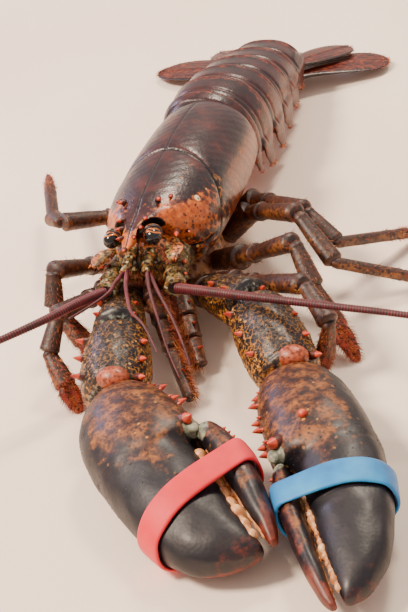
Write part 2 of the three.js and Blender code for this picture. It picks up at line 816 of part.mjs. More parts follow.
function clawFinger({ length, finger, teeth }) {
  const pieces = [loft(finger.map((row) => clawRing(row, length, 10, 2.1)))];
  for (let i = 0; i < teeth.count; i++) {
    const x = teeth.from + 0.02 + ((teeth.to - teeth.from) * i) / (teeth.count - 1);
    const near = Math.min(x, 0.98);
    const edge = edgeAt(finger, near, 1) + teeth.radius * 0.3;
    const size = teeth.radius * 0.8 * (1 - 0.4 * (i / teeth.count)) * length;
    const place = [x, edge, edgeAt(finger, near, 4)].map((share) => share * length);
    pieces.push(knob(place, [size * 1.3, size, size], 5, 3));
  }
  return fuse(pieces);
}

// The convex outline of the solids in the plane at `point`, as offsets along two axes, for a stretched band.
function outlineAt(solids, point, normal, across, up) {
  const flat = [];
  for (const solid of solids) {
    const mesh = solid.getMesh();
    const at = (i) => cornerOf(mesh, i).sub(point);
    for (let i = 0; i < mesh.triVerts.length; i += 3)
      for (let k = 0; k < 3; k++) {
        const [a, b] = [at(mesh.triVerts[i + k]), at(mesh.triVerts[i + ((k + 1) % 3)])];
        const [da, db] = [a.dot(normal), b.dot(normal)];
        if (da < 0 === db < 0) continue;
        const hit = a.lerp(b, da / (da - db));
        flat.push([hit.dot(across), hit.dot(up)]);
      }
  }
  flat.sort((p, q) => p[0] - q[0] || p[1] - q[1]);
  const turn = (o, a, b) => (a[0] - o[0]) * (b[1] - o[1]) - (a[1] - o[1]) * (b[0] - o[0]);
  const half = (points) =>
    points.reduce((hull, p) => {
      while (hull.length > 1 && turn(hull.at(-2), hull.at(-1), p) <= 0) hull.pop();
      hull.push(p);
      return hull;
    }, []);
  const [lower, upper] = [half(flat), half([...flat].reverse())];
  return [...lower.slice(0, -1), ...upper.slice(0, -1)];
}

// Rubber band round both fingers: three convex outlines across its width, joined inside and out.
function rubberBand(solids, centre, lean) {
  const normal = new THREE.Vector3(Math.cos(lean), Math.sin(lean), 0);
  const across = new THREE.Vector3(-Math.sin(lean), Math.cos(lean), 0);
  const up = new THREE.Vector3(0, 0, 1);
  const count = 18;
  const walls = [-0.5, 0, 0.5].map((share) => {
    const point = vector(centre).addScaledVector(normal, share * bandWidth);
    const hull = outlineAt(solids, point, normal, across, up);
    const middle = [0, 1].map((j) => {
      const places = hull.map((p) => p[j]);
      return (Math.min(...places) + Math.max(...places)) / 2;
    });
    const reach = (angle) => {
      const direction = [Math.cos(angle), Math.sin(angle)];
      let best = 0;
      hull.forEach((p, i) => {
        const q = hull[(i + 1) % hull.length];
        const [px, py, ex, ey] = [p[0] - middle[0], p[1] - middle[1], q[0] - p[0], q[1] - p[1]];
        const cross = direction[0] * ey - direction[1] * ex;
        if (Math.abs(cross) < 1e-9) return;
        const along = (direction[1] * px - direction[0] * py) / cross;
        if (along < -1e-6 || along > 1 + 1e-6) return;
        best = Math.max(best, direction[0] * (px + ex * along) + direction[1] * (py + ey * along));
      });
      return best;
    };
    const ring = (offset) =>
      Array.from({ length: count }, (_, k) => {
        const angle = (2 * Math.PI * k) / count;
        const r = reach(angle) + offset;
        return point
          .clone()
          .addScaledVector(across, middle[0] + Math.cos(angle) * r)
          .addScaledVector(up, middle[1] + Math.sin(angle) * r);
      });
    return [ring(bandClearance), ring(bandClearance + bandThickness)];
  });
  const loops = [...walls.map(([, outer]) => outer), ...walls.map(([inner]) => inner).reverse()];
  const vertices = loops.flat();
  const triangles = [];
  loops.forEach((_, i) => {
    const j = (i + 1) % loops.length;
    for (let k = 0; k < count; k++) {
      const next = (k + 1) % count;
      const [a, b, c, d] = [i * count + k, i * count + next, j * count + next, j * count + k];
      triangles.push([a, b, c], [a, c, d]);
    }
  });
  return clearOf(closedSolid(vertices, triangles), ...solids);
}

// Where each claw lies: its wrist, the point its tips reach, its tilt, and the side of the moving finger.
const clawPlaces = {
  crusher: {
    wrist: [4.2, -136, 17],
    towards: [74.2, -208.6],
    tilt: 14,
    flip: 1,
    bandAt: 0.69,
    bandLean: 8,
  },
  pincer: {
    wrist: [69.3, -118, 14.6],
    towards: [105.3, -234.5],
    tilt: 6,
    flip: -1,
    bandAt: 0.61,
    bandLean: 3,
  },
};

function clawMatrix({ wrist, towards, tilt }) {
  const aim = Math.atan2(towards[1] - wrist[1], towards[0] - wrist[0]);
  return new THREE.Matrix4()
    .makeTranslation(...wrist)
    .multiply(new THREE.Matrix4().makeRotationZ(aim))
    .multiply(new THREE.Matrix4().makeRotationX(radians(tilt)));
}

function placed(solid, matrix, flip) {
  const whole = matrix.clone().multiply(new THREE.Matrix4().makeScale(1, flip, 1));
  return solid.transform(whole.toArray());
}

// Arm from the breast plate to the wrist: a short root, the long arm segment and the knuckle before the claw.
const armPaths = {
  right: {
    root: [-10, -50, 11],
    elbow: [-12, -65, 16],
    knuckle: [-3, -102, 23.5],
    wrist: clawPlaces.crusher.wrist,
  },
  left: {
    root: [11, -50, 11],
    elbow: [23, -60, 17],
    knuckle: [48.5, -84, 25],
    wrist: clawPlaces.pincer.wrist,
  },
};

function armPieces({ root, elbow, knuckle, wrist }) {
  const armRoot = segment(root, mix(root, elbow, 1.15), 6.5, 7.6, { sides: 10 });
  const arm = fuse(
    limb(
      [
        [...mix(elbow, knuckle, -0.05), 6, 6.4],
        [...mix(elbow, knuckle, 0.15), 7.6, 8.2],
        [...mix(elbow, knuckle, 0.6), 9.6, 10.6],
        [...mix(elbow, knuckle, 0.92), 10.8, 11.6],
        [...mix(elbow, knuckle, 1.05), 9.4, 10],
      ],
      { sides: 12, steps: 1 },
    ),
    [0.55, 0.86].flatMap((t) => {
      const [x, y, z] = mix(elbow, knuckle, t);
      return bothSides((side) => spine([x + side * 7, y, z + 7.4], [side * 0.6, -0.7, 0.9], 2, 7));
    }),
  );
  const hand = fuse(
    limb(
      [
        [...mix(knuckle, wrist, -0.06), 9.2, 9.6],
        [...mix(knuckle, wrist, 0.12), 12, 12.4],
        [...mix(knuckle, wrist, 0.5), 13.8, 14.6],
        [...mix(knuckle, wrist, 0.85), 13.2, 13.8],
        [...mix(knuckle, wrist, 1.02), 10, 10.8],
      ],
      { sides: 11, steps: 1 },
    ),
    [0.3, 0.6, 0.9].flatMap((t) => {
      const [x, y, z] = mix(knuckle, wrist, t);
      return bothSides((side) =>
        spine([x + side * 11.4, y - 1, z + 6 + 3 * t], [side, -0.6, 0.6], 2.2, 8),
      );
    }),
    knob([wrist[0] + 1, wrist[1] + 0.5, wrist[2] + 11], [6.4, 5.2, 4.6], 8, 5),
  );
  return { armRoot, arm, hand };
}

// Assembly
const carapaceSolid = onBody(carapace());
const sternumSolid = clearOf(sternum(), carapaceSolid);
const faceSeat = onBody(facePlate()).subtract(grown(carapaceSolid, faceClearance));
const faceSolid = clearOf(faceSeat, carapaceSolid, sternumSolid);
addNode("carapace", carapaceSolid, materials.back);
addNode("sternum", sternumSolid, materials.belly);
addNode("face", faceSolid, materials.face);

const tailRings = ringLengths.map((_, i) => abdomenRing(i));
tailRings[0] = clearOf(tailRings[0], carapaceSolid, sternumSolid);
tailRings.forEach((ring, i) => addNode(`abdomen_${i + 1}`, ring, materials.tail));

const telson = keepBeyond(
  limb(
    [
      [tailDrift, fanRoot - 2, 23, 11, 7],
      [tailDrift, fanRoot + 8, 19, 12.6, 5],
      [tailDrift - 1, fanRoot + 25, 11.5, 12.4, 3],
      [tailDrift - 1.8, fanRoot + 37, 7, 10.8, 2],
      [tailDrift - 2, fanRoot + 41.5, 5.8, 6.5, 1.3],
    ],
    { sides: 14, steps: 1, power: 2.6 },
  ),
  [0, fanRoot - jointGap / 2, 0],
  [0, 1, 0],
);
addNode("telson", telson, materials.tail);
// Root, bend and tip of each blade of the fan
const bladePaths = {
  left: {
    inner: [[13, fanRoot + 2, 15.5], [25, fanRoot + 24, 13], [39, fanRoot + 44.5, 7]],
    outer: [[15, fanRoot + 2, 10], [37, fanRoot + 28, 7.5], [63, fanRoot + 32, 2.4]],
  },
  right: {
    inner: [[-7, fanRoot + 2, 15.5], [-20, fanRoot + 24, 13], [-37, fanRoot + 45, 7]],
    outer: [[-9, fanRoot + 2, 10], [-35, fanRoot + 29, 7.5], [-71, fanRoot + 31, 2.4]],
  },
};
for (const [name, { inner, outer }] of Object.entries(bladePaths)) {
  const over = clearOf(blade(...inner, 10.5, 2.4), telson, tailRings[5]);
  const under = clearOf(blade(...outer, 13, 2.3), telson, over, tailRings[5]);
  addNode(`uropod_inner_${name}`, over, materials.tail);
  addNode(`uropod_outer_${name}`, onFloor(under), materials.tail);
}

const laid = [carapaceSolid, faceSolid, sternumSolid]; // what a limb's root is cut back from
bothSides((side) => {
  const name = side > 0 ? "left" : "right";
  const eye = clearOf(onBody(eyeSolid(side)), carapaceSolid, faceSolid);
  const stalk = clearOf(onBody(stalkSolid(side)), carapaceSolid, faceSolid, eye);
  addNode(`eye_${name}`, eye, materials.eye);
  addNode(`eyestalk_${name}`, stalk, materials.face);
  const base = clearOf(antennaBase(side, antennaEnds[name]), ...laid);
  const whisker = clearOf(feeler(feelerPaths[name]), base);
  laid.push(base);
  addNode(`antenna_base_${name}`, base, materials.face);
  addNode(`antenna_${name}`, whisker, materials.feeler);
  addNode(`antenna_scale_${name}`, clearOf(onBody(antennaScale(side)), ...laid, base, stalk), materials.face);
  addNode(`antennule_${name}`, clearOf(antennule(side, whipPaths[name]), ...laid, stalk), materials.feeler);
});

const claws = {};
for (const [kind, place] of Object.entries(clawPlaces)) {
  const shape = clawShapes[kind];
  const palm = clawPalm(shape);
  const finger = clearOf(clawFinger(shape), palm);
  const bandCentre = [place.bandAt * shape.length, 0, 0];
  const band = rubberBand([palm, finger], bandCentre, radians(place.bandLean));
  const matrix = clawMatrix(place);
  const inPlace = (solid) => onFloor(placed(solid, matrix, place.flip));
  claws[kind] = { palm: inPlace(palm), finger: inPlace(finger), band: inPlace(band), matrix };
}

const arms = {};
for (const [side, path] of Object.entries(armPaths)) {
  const kind = side === "right" ? "crusher" : "pincer";
  const { root, elbow, knuckle, wrist } = path;
  const { armRoot, arm, hand } = armPieces(path);
  const palm = claws[kind].palm;
  const handEnd = keepBeyond(hand, knuckle, heading(knuckle, wrist));
  const handSolid = onFloor(clearOf(handEnd, palm));
  const armStart = keepBeyond(arm, elbow, heading(elbow, knuckle));
  const armMiddle = keepBeyond(armStart, knuckle, heading(knuckle, elbow));
  const armSolid = onFloor(clearOf(armMiddle, ...laid, handSolid));
  const rootPart = keepBeyond(armRoot, elbow, heading(elbow, root));
  const rootSolid = onFloor(clearOf(rootPart, ...laid, armSolid));
  arms[side] = { root: rootSolid, arm: armSolid, hand: handSolid };
  addNode(`claw_arm_root_${side}`, rootSolid, materials.leg);
  addNode(`claw_arm_${side}`, armSolid, materials.claw);
  addNode(`claw_knuckle_${side}`, handSolid, materials.claw);
}
addNode("crusher_palm", claws.crusher.palm, materials.claw);
addNode("crusher_finger", claws.crusher.finger, materials.claw);
addNode("pincer_palm", claws.pincer.palm, materials.claw);
addNode("pincer_finger", claws.pincer.finger, materials.claw);
addNode("crusher_band", claws.crusher.band, materials.redBand);
addNode("pincer_band", claws.pincer.band, materials.blueBand);

for (const side of ["left", "right"]) {
  const { root, arm, hand } = arms[side];
  const other = arms[side === "left" ? "right" : "left"];
  const leg = mouthLeg(mouthLegPaths[side]);
  const cleared = clearOf(leg, ...laid, root, arm, hand, other.arm, other.hand);
  addNode(`mouth_leg_${side}`, cleared, materials.leg);
}

const placedLegs = [];
for (const [name, path] of Object.entries(legPaths)) {
  const side = path.root[0] > 0 ? "left" : "right";
  const arm = arms[side];
  const toKnee = keepBeyond(upperLeg(path), path.knee, heading(path.knee, path.hip));
  const upper = onFloor(clearOf(toKnee, ...laid, arm.root, arm.arm, ...placedLegs));
  const lower = onFloor(clearOf(lowerLeg(path), upper, arm.arm, arm.hand, ...placedLegs));
  placedLegs.push(upper, lower);
  addNode(`${name}_upper`, upper, materials.leg);
  addNode(`${name}_lower`, lower, materials.leg);
}

export default lobster;
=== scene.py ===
# American lobster, life size, at rest on a pale floor with a rubber band round each claw.
# Shapes are made in millimetres in the part's own frame, and each finished piece is scaled to metres.
import math

import bmesh
import bpy
import numpy as np
from mathutils import Matrix, Vector


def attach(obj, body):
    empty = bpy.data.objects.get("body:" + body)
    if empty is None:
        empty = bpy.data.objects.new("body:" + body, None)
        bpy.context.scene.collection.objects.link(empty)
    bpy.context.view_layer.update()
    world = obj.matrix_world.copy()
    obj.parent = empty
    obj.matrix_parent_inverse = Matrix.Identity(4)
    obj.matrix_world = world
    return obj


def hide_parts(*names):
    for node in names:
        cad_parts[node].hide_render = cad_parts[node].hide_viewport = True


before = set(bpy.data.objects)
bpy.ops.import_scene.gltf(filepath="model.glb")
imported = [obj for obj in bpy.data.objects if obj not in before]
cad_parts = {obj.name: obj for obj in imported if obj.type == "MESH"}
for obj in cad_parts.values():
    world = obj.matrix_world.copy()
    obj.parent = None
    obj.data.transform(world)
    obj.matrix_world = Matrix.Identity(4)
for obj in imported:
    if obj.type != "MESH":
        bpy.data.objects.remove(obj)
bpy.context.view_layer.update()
print("lobster: frame loaded")


# The view of the photo.
camera = {"place": (208.65, -594.63, 359.72), "yaw": -0.33998, "pitch": -0.55258, "roll": -0.18889,
          "lens": 94.14}


def makeCamera(look):
    yaw, pitch, roll = look["yaw"], look["pitch"], look["roll"]
    ahead = Vector((math.sin(yaw) * math.cos(pitch), math.cos(yaw) * math.cos(pitch), math.sin(pitch)))
    right = ahead.cross(Vector((0, 0, 1))).normalized()
    up = right.cross(ahead)
    across = math.cos(roll) * right + math.sin(roll) * up
    above = -math.sin(roll) * right + math.cos(roll) * up
    turn = Matrix((across, above, -ahead)).transposed().to_4x4()
    data = bpy.data.cameras.new("photo view")
    data.lens, data.sensor_width = look["lens"], 36
    data.clip_start, data.clip_end = 0.01, 20
    made = bpy.data.objects.new("photo view", data)
    made.matrix_world = Matrix.Translation(Vector(look["place"]) * 0.001) @ turn
    bpy.context.scene.collection.objects.link(made)
    bpy.context.scene.camera = made


makeCamera(camera)


def linear(hexColour):
    shares = [int(hexColour[i : i + 2], 16) / 255 for i in (1, 3, 5)]
    return [v / 12.92 if v <= 0.04045 else ((v + 0.055) / 1.055) ** 2.4 for v in shares] + [1.0]


def addNode(tree, kind, settings=None, links=None, stops=None):
    node = tree.nodes.new(kind)
    for key, value in (settings or {}).items():
        setattr(node, key, value)
    for socket, source in (links or {}).items():
        if isinstance(source, bpy.types.NodeSocket):
            tree.links.new(source, node.inputs[socket])
        else:
            node.inputs[socket].default_value = source
    if stops:
        ramp = node.color_ramp
        while len(ramp.elements) < len(stops):
            ramp.elements.new(0.5)
        for element, (place, colour) in zip(ramp.elements, stops):
            element.position, element.color = place, linear(colour)
    return node


def newMaterial(name):
    material = bpy.data.materials.new(name)
    material.use_nodes = True
    material.node_tree.nodes.clear()
    return material, material.node_tree


def closeMaterial(tree, values):
    shader = addNode(tree, "ShaderNodeBsdfPrincipled", links=values)
    output = addNode(tree, "ShaderNodeOutputMaterial")
    tree.links.new(shader.outputs["BSDF"], output.inputs["Surface"])


def calculate(tree, operation, *values):
    return addNode(tree, "ShaderNodeMath", {"operation": operation}, dict(enumerate(values))).outputs[0]


def noise(tree, spot, scale, **values):
    return addNode(tree, "ShaderNodeTexNoise", links={"Vector": spot, "Scale": scale, **values})


def tinted(tree, source, stops):
    return addNode(tree, "ShaderNodeValToRGB", links={"Fac": source}, stops=stops).outputs["Color"]


def covered(tree, share, under, over):
    return addNode(tree, "ShaderNodeMix", {"data_type": "RGBA"}, {0: share, 6: under, 7: over}).outputs[2]


def layerShare(tree, name):
    return addNode(tree, "ShaderNodeAttribute", {"attribute_name": name}).outputs["Fac"]


def objectSpot(tree):
    return addNode(tree, "ShaderNodeTexCoord").outputs["Object"]


light = {
    "window": {"place": (0.22, 0.75, 1.25), "size": 0.3, "power": 16, "colour": "#ffedd6"},
    "room": {"place": (-0.75, -0.5, 1.25), "size": 0.35, "power": 42, "colour": "#ffe8d0"},
    "side": {"place": (-0.9, 0.5, 0.5), "size": 0.3, "power": 4, "colour": "#dcd6ff"},
    "sky": {"colour": "#fceadf", "strength": 0.85},
}


def makeLights(look):
    aim = Vector((0.02, -0.04, 0.02))
    for name in ("window", "room", "side"):
        data = bpy.data.lights.new(name, "AREA")
        data.size, data.energy = look[name]["size"], look[name]["power"]
        data.color = linear(look[name]["colour"])[:3]
        lamp = bpy.data.objects.new(name, data)
        lamp.location = look[name]["place"]
        lamp.rotation_euler = (aim - lamp.location).to_track_quat("-Z", "Y").to_euler()
        bpy.context.scene.collection.objects.link(lamp)
    world = bpy.data.worlds.new("studio")
    world.use_nodes = True
    sky = world.node_tree.nodes["Background"]
    sky.inputs["Color"].default_value = linear(look["sky"]["colour"])
    sky.inputs["Strength"].default_value = look["sky"]["strength"]
    bpy.context.scene.world = world


makeLights(light)

floor = {"reach": 3.0, "drop": 0.0004, "colours": ("#f7e3d2", "#fff0e0"), "cloudScale": 6.0}


def makeFloor(look):
    material, tree = newMaterial("matt plaster")  # even and pale, with a faint cloudiness
    cloud = noise(tree, objectSpot(tree), look["cloudScale"])
    tint = tinted(tree, cloud.outputs[0], [(0.3, look["colours"][0]), (0.7, look["colours"][1])])
    closeMaterial(tree, {"Base Color": tint, "Roughness": 0.7})
    reach, low = look["reach"], -look["drop"]
    mesh = bpy.data.meshes.new("floor")
    corners = [(-reach, -reach, low), (reach, -reach, low), (reach, reach, low), (-reach, reach, low)]
    mesh.from_pydata(corners, [], [(0, 1, 2, 3)])
    mesh.materials.append(material)
    made = bpy.data.objects.new("floor", mesh)
    bpy.context.scene.collection.objects.link(made)


makeFloor(floor)
print("lobster: camera, light and floor")


# Nothing at the first number, whole at the second, and smooth between them. The second may be the lower.
def rise(values, start, end):
    t = np.clip((np.asarray(values) - start) / (end - start), 0, 1)
    return t * t * (3 - 2 * t)


def bell(values, middle, width):
    return np.exp(-(((values - middle) / width) ** 2))


def signedPower(values, power):
    return np.sign(values) * np.abs(values) ** power


def circle(sides):
    return 2 * np.pi * np.arange(sides) / sides


def unit(vectors):
    return vectors / np.maximum(np.linalg.norm(vectors, axis=-1, keepdims=True), 1e-9)


def between(a, b, t):
    return np.array(a, float) + (np.array(b, float) - np.array(a, float)) * t


# A curve through all rows, with that many steps from each to the next.
def smoothRows(rows, steps):
    rows = np.asarray(rows, float)
    last = len(rows) - 1
    made = []
    for i in range(last):
        a, b, c, d = rows[max(i - 1, 0)], rows[i], rows[i + 1], rows[min(i + 2, last)]
        slopeB, slopeC = (c - a) / 2, (d - b) / 2
        for k in range(steps):
            t = k / steps
            bend = (2 * (b - c) + slopeB + slopeC) * t + 3 * (c - b) - 2 * slopeB - slopeC
            made.append(bend * t * t + slopeB * t + b)
    made.append(rows[last])
    return np.array(made)


# A part is (points, faces, values at the points). A loft is closed at both ends.
def loft(rings):
    rings = np.asarray(rings, float)
    count, sides = rings.shape[:2]
    points = np.vstack([rings.reshape(-1, 3), rings[0].mean(0), rings[-1].mean(0)])
    ring, side = np.meshgrid(np.arange(count - 1), np.arange(sides), indexing="ij")
    here, beside = ring * sides + side, ring * sides + (side + 1) % sides
    walls = np.stack([here, beside, beside + sides, here + sides], -1).reshape(-1, 4)
    faces = [tuple(f) for f in walls.tolist()]
    end, top = count * sides, (count - 1) * sides
    for k in range(sides):
        faces.append(((k + 1) % sides, k, end))
        faces.append((top + k, top + (k + 1) % sides, end + 1))
    along = np.append(np.repeat(np.linspace(0, 1, count), sides), [0, 1])
    around = np.append(np.tile(np.arange(sides) / sides, count), [0, 0])
    return points, faces, {"along": along, "around": around}


# Each row is [x, y, z, half width, half height]. The section is a superellipse: power 2 is an ellipse.
def limb(rows, sides=24, steps=5, up=(0, 0, 1), power=2.0):
    fine = smoothRows(rows, steps)
    along = unit(np.gradient(fine[:, :3], axis=0))
    across = unit(np.cross(along, np.array(up, float)))
    above = np.cross(across, along)
    angle = circle(sides)
    width, height = np.maximum(fine[:, 3], 0.05), np.maximum(fine[:, 4], 0.05)
    sideways = signedPower(np.cos(angle), 2 / power) * width[:, None]
    upwards = signedPower(np.sin(angle), 2 / power) * height[:, None]
    rings = fine[:, None, :3] + across[:, None] * sideways[..., None] + above[:, None] * upwards[..., None]
    points, faces, values = loft(rings)
    values["comb"] = np.vstack([np.repeat(along, sides, 0), along[0], along[-1]])
    return points, faces, values


# A limb segment, waisted at the root and fullest near its far joint. "joint" is the soft skin at its ends.
segmentShape = [  # the share of the length, and how much of the root's and the end's radius counts there
    (0, 0.5, 0), (0.04, 0.8, 0), (0.1, 0.96, 0), (0.16, 0.9, 0.02), (0.45, 0.46, 0.5), (0.8, 0, 0.97),
    (0.9, 0, 1.02), (0.95, 0, 0.98), (1, 0, 0.62)]


def segment(a, b, rootRadius, endRadius, sides=26, flat=0.85):
    rows = []
    for t, root, end in segmentShape:
        radius = rootRadius * root + endRadius * end
        rows.append([*between(a, b, t), radius, radius * flat])
    points, faces, values = limb(rows, sides, 3)
    share = values["along"]
    values["joint"] = np.clip(np.maximum(1 - share / 0.09, (share - 0.95) / 0.05), 0, 1)
    return points, faces, values


spineShape = [(0, 1), (0.3, 0.9), (0.55, 0.66), (0.78, 0.38), (0.93, 0.17), (1, 0.05)]


def spine(base, direction, radius, length, sides=10):
    along = unit(np.array(direction, float))
    root = np.array(base, float) - along * length * 0.3  # that share of it is sunk into the shell
    rows = [[*(root + along * length * t), radius * w, radius * w] for t, w in spineShape]
    points, faces, values = limb(rows, sides, 2, up=(0, 0, 1) if abs(along[2]) < 0.9 else (0, 1, 0))
    values["root"] = rise(values["along"], 0.5, 0.3)
    return points, faces, values


def knob(centre, radii, sides=20, rings=12):
    tilt = np.linspace(0.06, np.pi - 0.06, rings)[:, None]
    turn = 2 * np.pi * np.arange(sides)[None, :] / sides
    ball = np.stack([np.sin(tilt) * np.cos(turn), np.sin(tilt) * np.sin(turn), np.cos(tilt) + 0 * turn], -1)
    return loft(ball * np.array(radii) + np.array(centre))


def join(*parts):
    points, faces, offset = [], [], 0
    shapes = {}
    for p, f, values in parts:
        points.append(p)
        faces += [tuple(i + offset for i in face) for face in f]
        offset += len(p)
        shapes.update({key: np.shape(value)[1:] for key, value in values.items()})
    joined = {key: np.concatenate([v.get(key, np.zeros((len(p), *shape))) for p, _, v in parts])
              for key, shape in shapes.items()}
    return np.vstack(points), faces, joined


def paint(piece, **layers):
    for name, values in layers.items():
        values = np.asarray(values, np.float32)
        kind, field = ("FLOAT_VECTOR", "vector") if values.ndim > 1 else ("FLOAT", "value")
        layer = piece.data.attributes.get(name) or piece.data.attributes.new(name, kind, "POINT")
        layer.data.foreach_set(field, values.ravel())


def painted(piece, name):
    values = np.empty(len(piece.data.vertices), np.float32)
    piece.data.attributes[name].data.foreach_get("value", values)
    return values


def combed(piece, way):
    paint(piece, comb=np.tile(way, (len(piece.data.vertices), 1)))


def coordinates(piece):
    points = np.empty(len(piece.data.vertices) * 3, np.float32)
    piece.data.vertices.foreach_get("co", points)
    return points.reshape(-1, 3).astype(float)


def outwards(piece):
    normals = np.empty(len(piece.data.vertices) * 3, np.float32)
    piece.data.vertex_normals.foreach_get("vector", normals)
    return normals.reshape(-1, 3).astype(float)


def place(piece, points):
    piece.data.vertices.foreach_set("co", np.asarray(points, np.float32).ravel())
    piece.data.update()


def makePiece(name, part):
    points, faces, values = part
    mesh = bpy.data.meshes.new(name)
    mesh.from_pydata(points.tolist(), [], faces)
    piece = bpy.data.objects.new(name, mesh)
    bpy.context.scene.collection.objects.link(piece)
    paint(piece, **values)
    work = bmesh.new()
    work.from_mesh(mesh)
    bmesh.ops.remove_doubles(work, verts=work.verts, dist=1e-4)
    bmesh.ops.recalc_face_normals(work, faces=work.faces)
    work.to_mesh(mesh)
    work.free()
    mesh.update()
    return piece


def settle(piece):
    graph = bpy.context.evaluated_depsgraph_get()
    made = bpy.data.meshes.new_from_object(piece.evaluated_get(graph))
    piece.modifiers.clear()
    piece.data = made
    return piece


def voxelSkin(piece, voxel):
    skin = piece.modifiers.new("skin", "REMESH")
    skin.mode, skin.voxel_size = "VOXEL", voxel
    return piece


# Parts that grow into one another become one skin: voxels of that size, relaxed so that the joins flow.
def melted(name, parts, voxel, relax, cutter=None):
    piece = makePiece(name, join(*parts))
    if cutter:
        settle(voxelSkin(piece, voxel))
        cut = piece.modifiers.new("cut", "BOOLEAN")
        cut.object, cut.operation, cut.solver = cutter, "DIFFERENCE", "EXACT"
        settle(piece)
    voxelSkin(piece, voxel)
    ease = piece.modifiers.new("ease", "SMOOTH")
    ease.factor, ease.iterations = 0.5, relax
    return settle(piece)


def finished(piece, nodes=(), material=None):
    points = coordinates(piece)
    points[:, 2] = np.maximum(points[:, 2], 0.02)  # what touches the floor is flat there
    place(piece, points * 0.001)
    if material:
        piece.data.materials.clear()
        piece.data.materials.append(material)
    piece.data.polygons.foreach_set("use_smooth", [True] * len(piece.data.polygons))
    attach(piece, "root")
    if nodes:
        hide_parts(*nodes)
    return piece


def grown(tree, base, name, values):
    piece = bpy.data.objects.new(name, base.data.copy())
    bpy.context.scene.collection.objects.link(piece)
    modifier = piece.modifiers.new(name, "NODES")
    modifier.node_group = tree
    sockets = {item.name: item.identifier for item in tree.interface.items_tree if item.in_out == "INPUT"}
    for key, value in values.items():
        modifier[sockets[key]] = value
    return settle(piece)


# A piece and the bristles or grains that grow on it. The values go to the tree's inputs.
def finishedWith(tree, name, piece, slot, nodes, material, **values):
    growth = grown(tree, piece, name, values)
    finished(piece, nodes, material)
    finished(growth)


# Geometry trees for what repeats.
def newTree(name, inputs):
    tree = bpy.data.node_groups.new(name, "GeometryNodeTree")
    tree.interface.new_socket("Geometry", in_out="INPUT", socket_type="NodeSocketGeometry")
    for label, kind in inputs:
        tree.interface.new_socket(label, in_out="INPUT", socket_type="NodeSocket" + kind)
    tree.interface.new_socket("Geometry", in_out="OUTPUT", socket_type="NodeSocketGeometry")
    return tree, addNode(tree, "NodeGroupInput"), addNode(tree, "NodeGroupOutput")


def storedLayer(tree, name, kind="FLOAT"):
    layer = addNode(tree, "GeometryNodeInputNamedAttribute", {"data_type": kind}, {"Name": name})
    return layer.outputs["Attribute"]


# Points all over a mesh, as close as "Density" says and where the layer is above nothing.
def scattered(tree, start, layer):
    density = calculate(tree, "MULTIPLY", storedLayer(tree, layer), start.outputs["Density"])
    return addNode(tree, "GeometryNodeDistributePointsOnFaces", links={
        "Mesh": start.outputs["Geometry"], "Density": density, "Seed": start.outputs["Seed"]})


def varied(tree, start, least):
    return addNode(tree, "FunctionNodeRandomValue", {"data_type": "FLOAT"},
                   {2: least, 3: 1.0, "Seed": start.outputs["Seed"]}).outputs[1]


def aligned(tree, way):
    return addNode(tree, "FunctionNodeAlignRotationToVector", {"axis": "Z"}, {"Vector": way}).outputs[0]


def addVectors(tree, a, b):
    return addNode(tree, "ShaderNodeVectorMath", {"operation": "ADD"}, {0: a, 1: b}).outputs[0]


# One small mesh at every point, stretched and turned, made real and given the tree's material.
def closeTree(tree, start, end, points, shape, turn, wide, tall):
    size = addNode(tree, "ShaderNodeCombineXYZ", links={"X": wide, "Y": wide, "Z": tall})
    copies = addNode(tree, "GeometryNodeInstanceOnPoints", links={
        "Points": points, "Instance": shape.outputs["Mesh"], "Rotation": turn, "Scale": size.outputs[0]})
    real = addNode(tree, "GeometryNodeRealizeInstances", links={0: copies.outputs[0]})
    coat = addNode(tree, "GeometryNodeSetMaterial", links={
        "Geometry": real.outputs[0], "Material": start.outputs["Material"]})
    tree.links.new(coat.outputs[0], end.inputs[0])
    return tree


# Bristles stand where "hair" is above nothing, and lie towards "comb".
def bristleTree():
    tree, start, end = newTree("bristles", [("Density", "Float"), ("Length", "Float"), ("Radius", "Float"),
                                            ("Seed", "Int"), ("Material", "Material")])
    points = scattered(tree, start, "hair")
    stray = addNode(tree, "FunctionNodeRandomValue", {"data_type": "FLOAT_VECTOR"},
                    {0: (-0.35, -0.35, -0.35), 1: (0.35, 0.35, 0.35), "Seed": start.outputs["Seed"]})
    lean = addVectors(tree, storedLayer(tree, "comb", "FLOAT_VECTOR"), stray.outputs[0])
    turn = aligned(tree, addVectors(tree, points.outputs["Normal"], lean))
    tall = calculate(tree, "MULTIPLY", varied(tree, start, 0.5), start.outputs["Length"])
    hair = addNode(tree, "GeometryNodeMeshCone", links={
        "Vertices": 4, "Side Segments": 1, "Radius Top": 0.15, "Radius Bottom": 1.0, "Depth": 1.0})
    return closeTree(tree, start, end, points.outputs["Points"], hair, turn, start.outputs["Radius"], tall)


# Low grains of shell where "grain" is above nothing.
def grainTree():
    tree, start, end = newTree("shell grains", [("Density", "Float"), ("Radius", "Float"),
                                                ("Height", "Float"),
                                                ("Seed", "Int"), ("Material", "Material")])
    points = scattered(tree, start, "grain")
    share = varied(tree, start, 0.45)
    wide = calculate(tree, "MULTIPLY", share, start.outputs["Radius"])
    tall = calculate(tree, "MULTIPLY", share, start.outputs["Height"])
    bead = addNode(tree, "GeometryNodeMeshUVSphere", links={"Segments": 8, "Rings": 5, "Radius": 1.0})
    turn = aligned(tree, points.outputs["Normal"])
    return closeTree(tree, start, end, points.outputs["Points"], bead, turn, wide, tall)


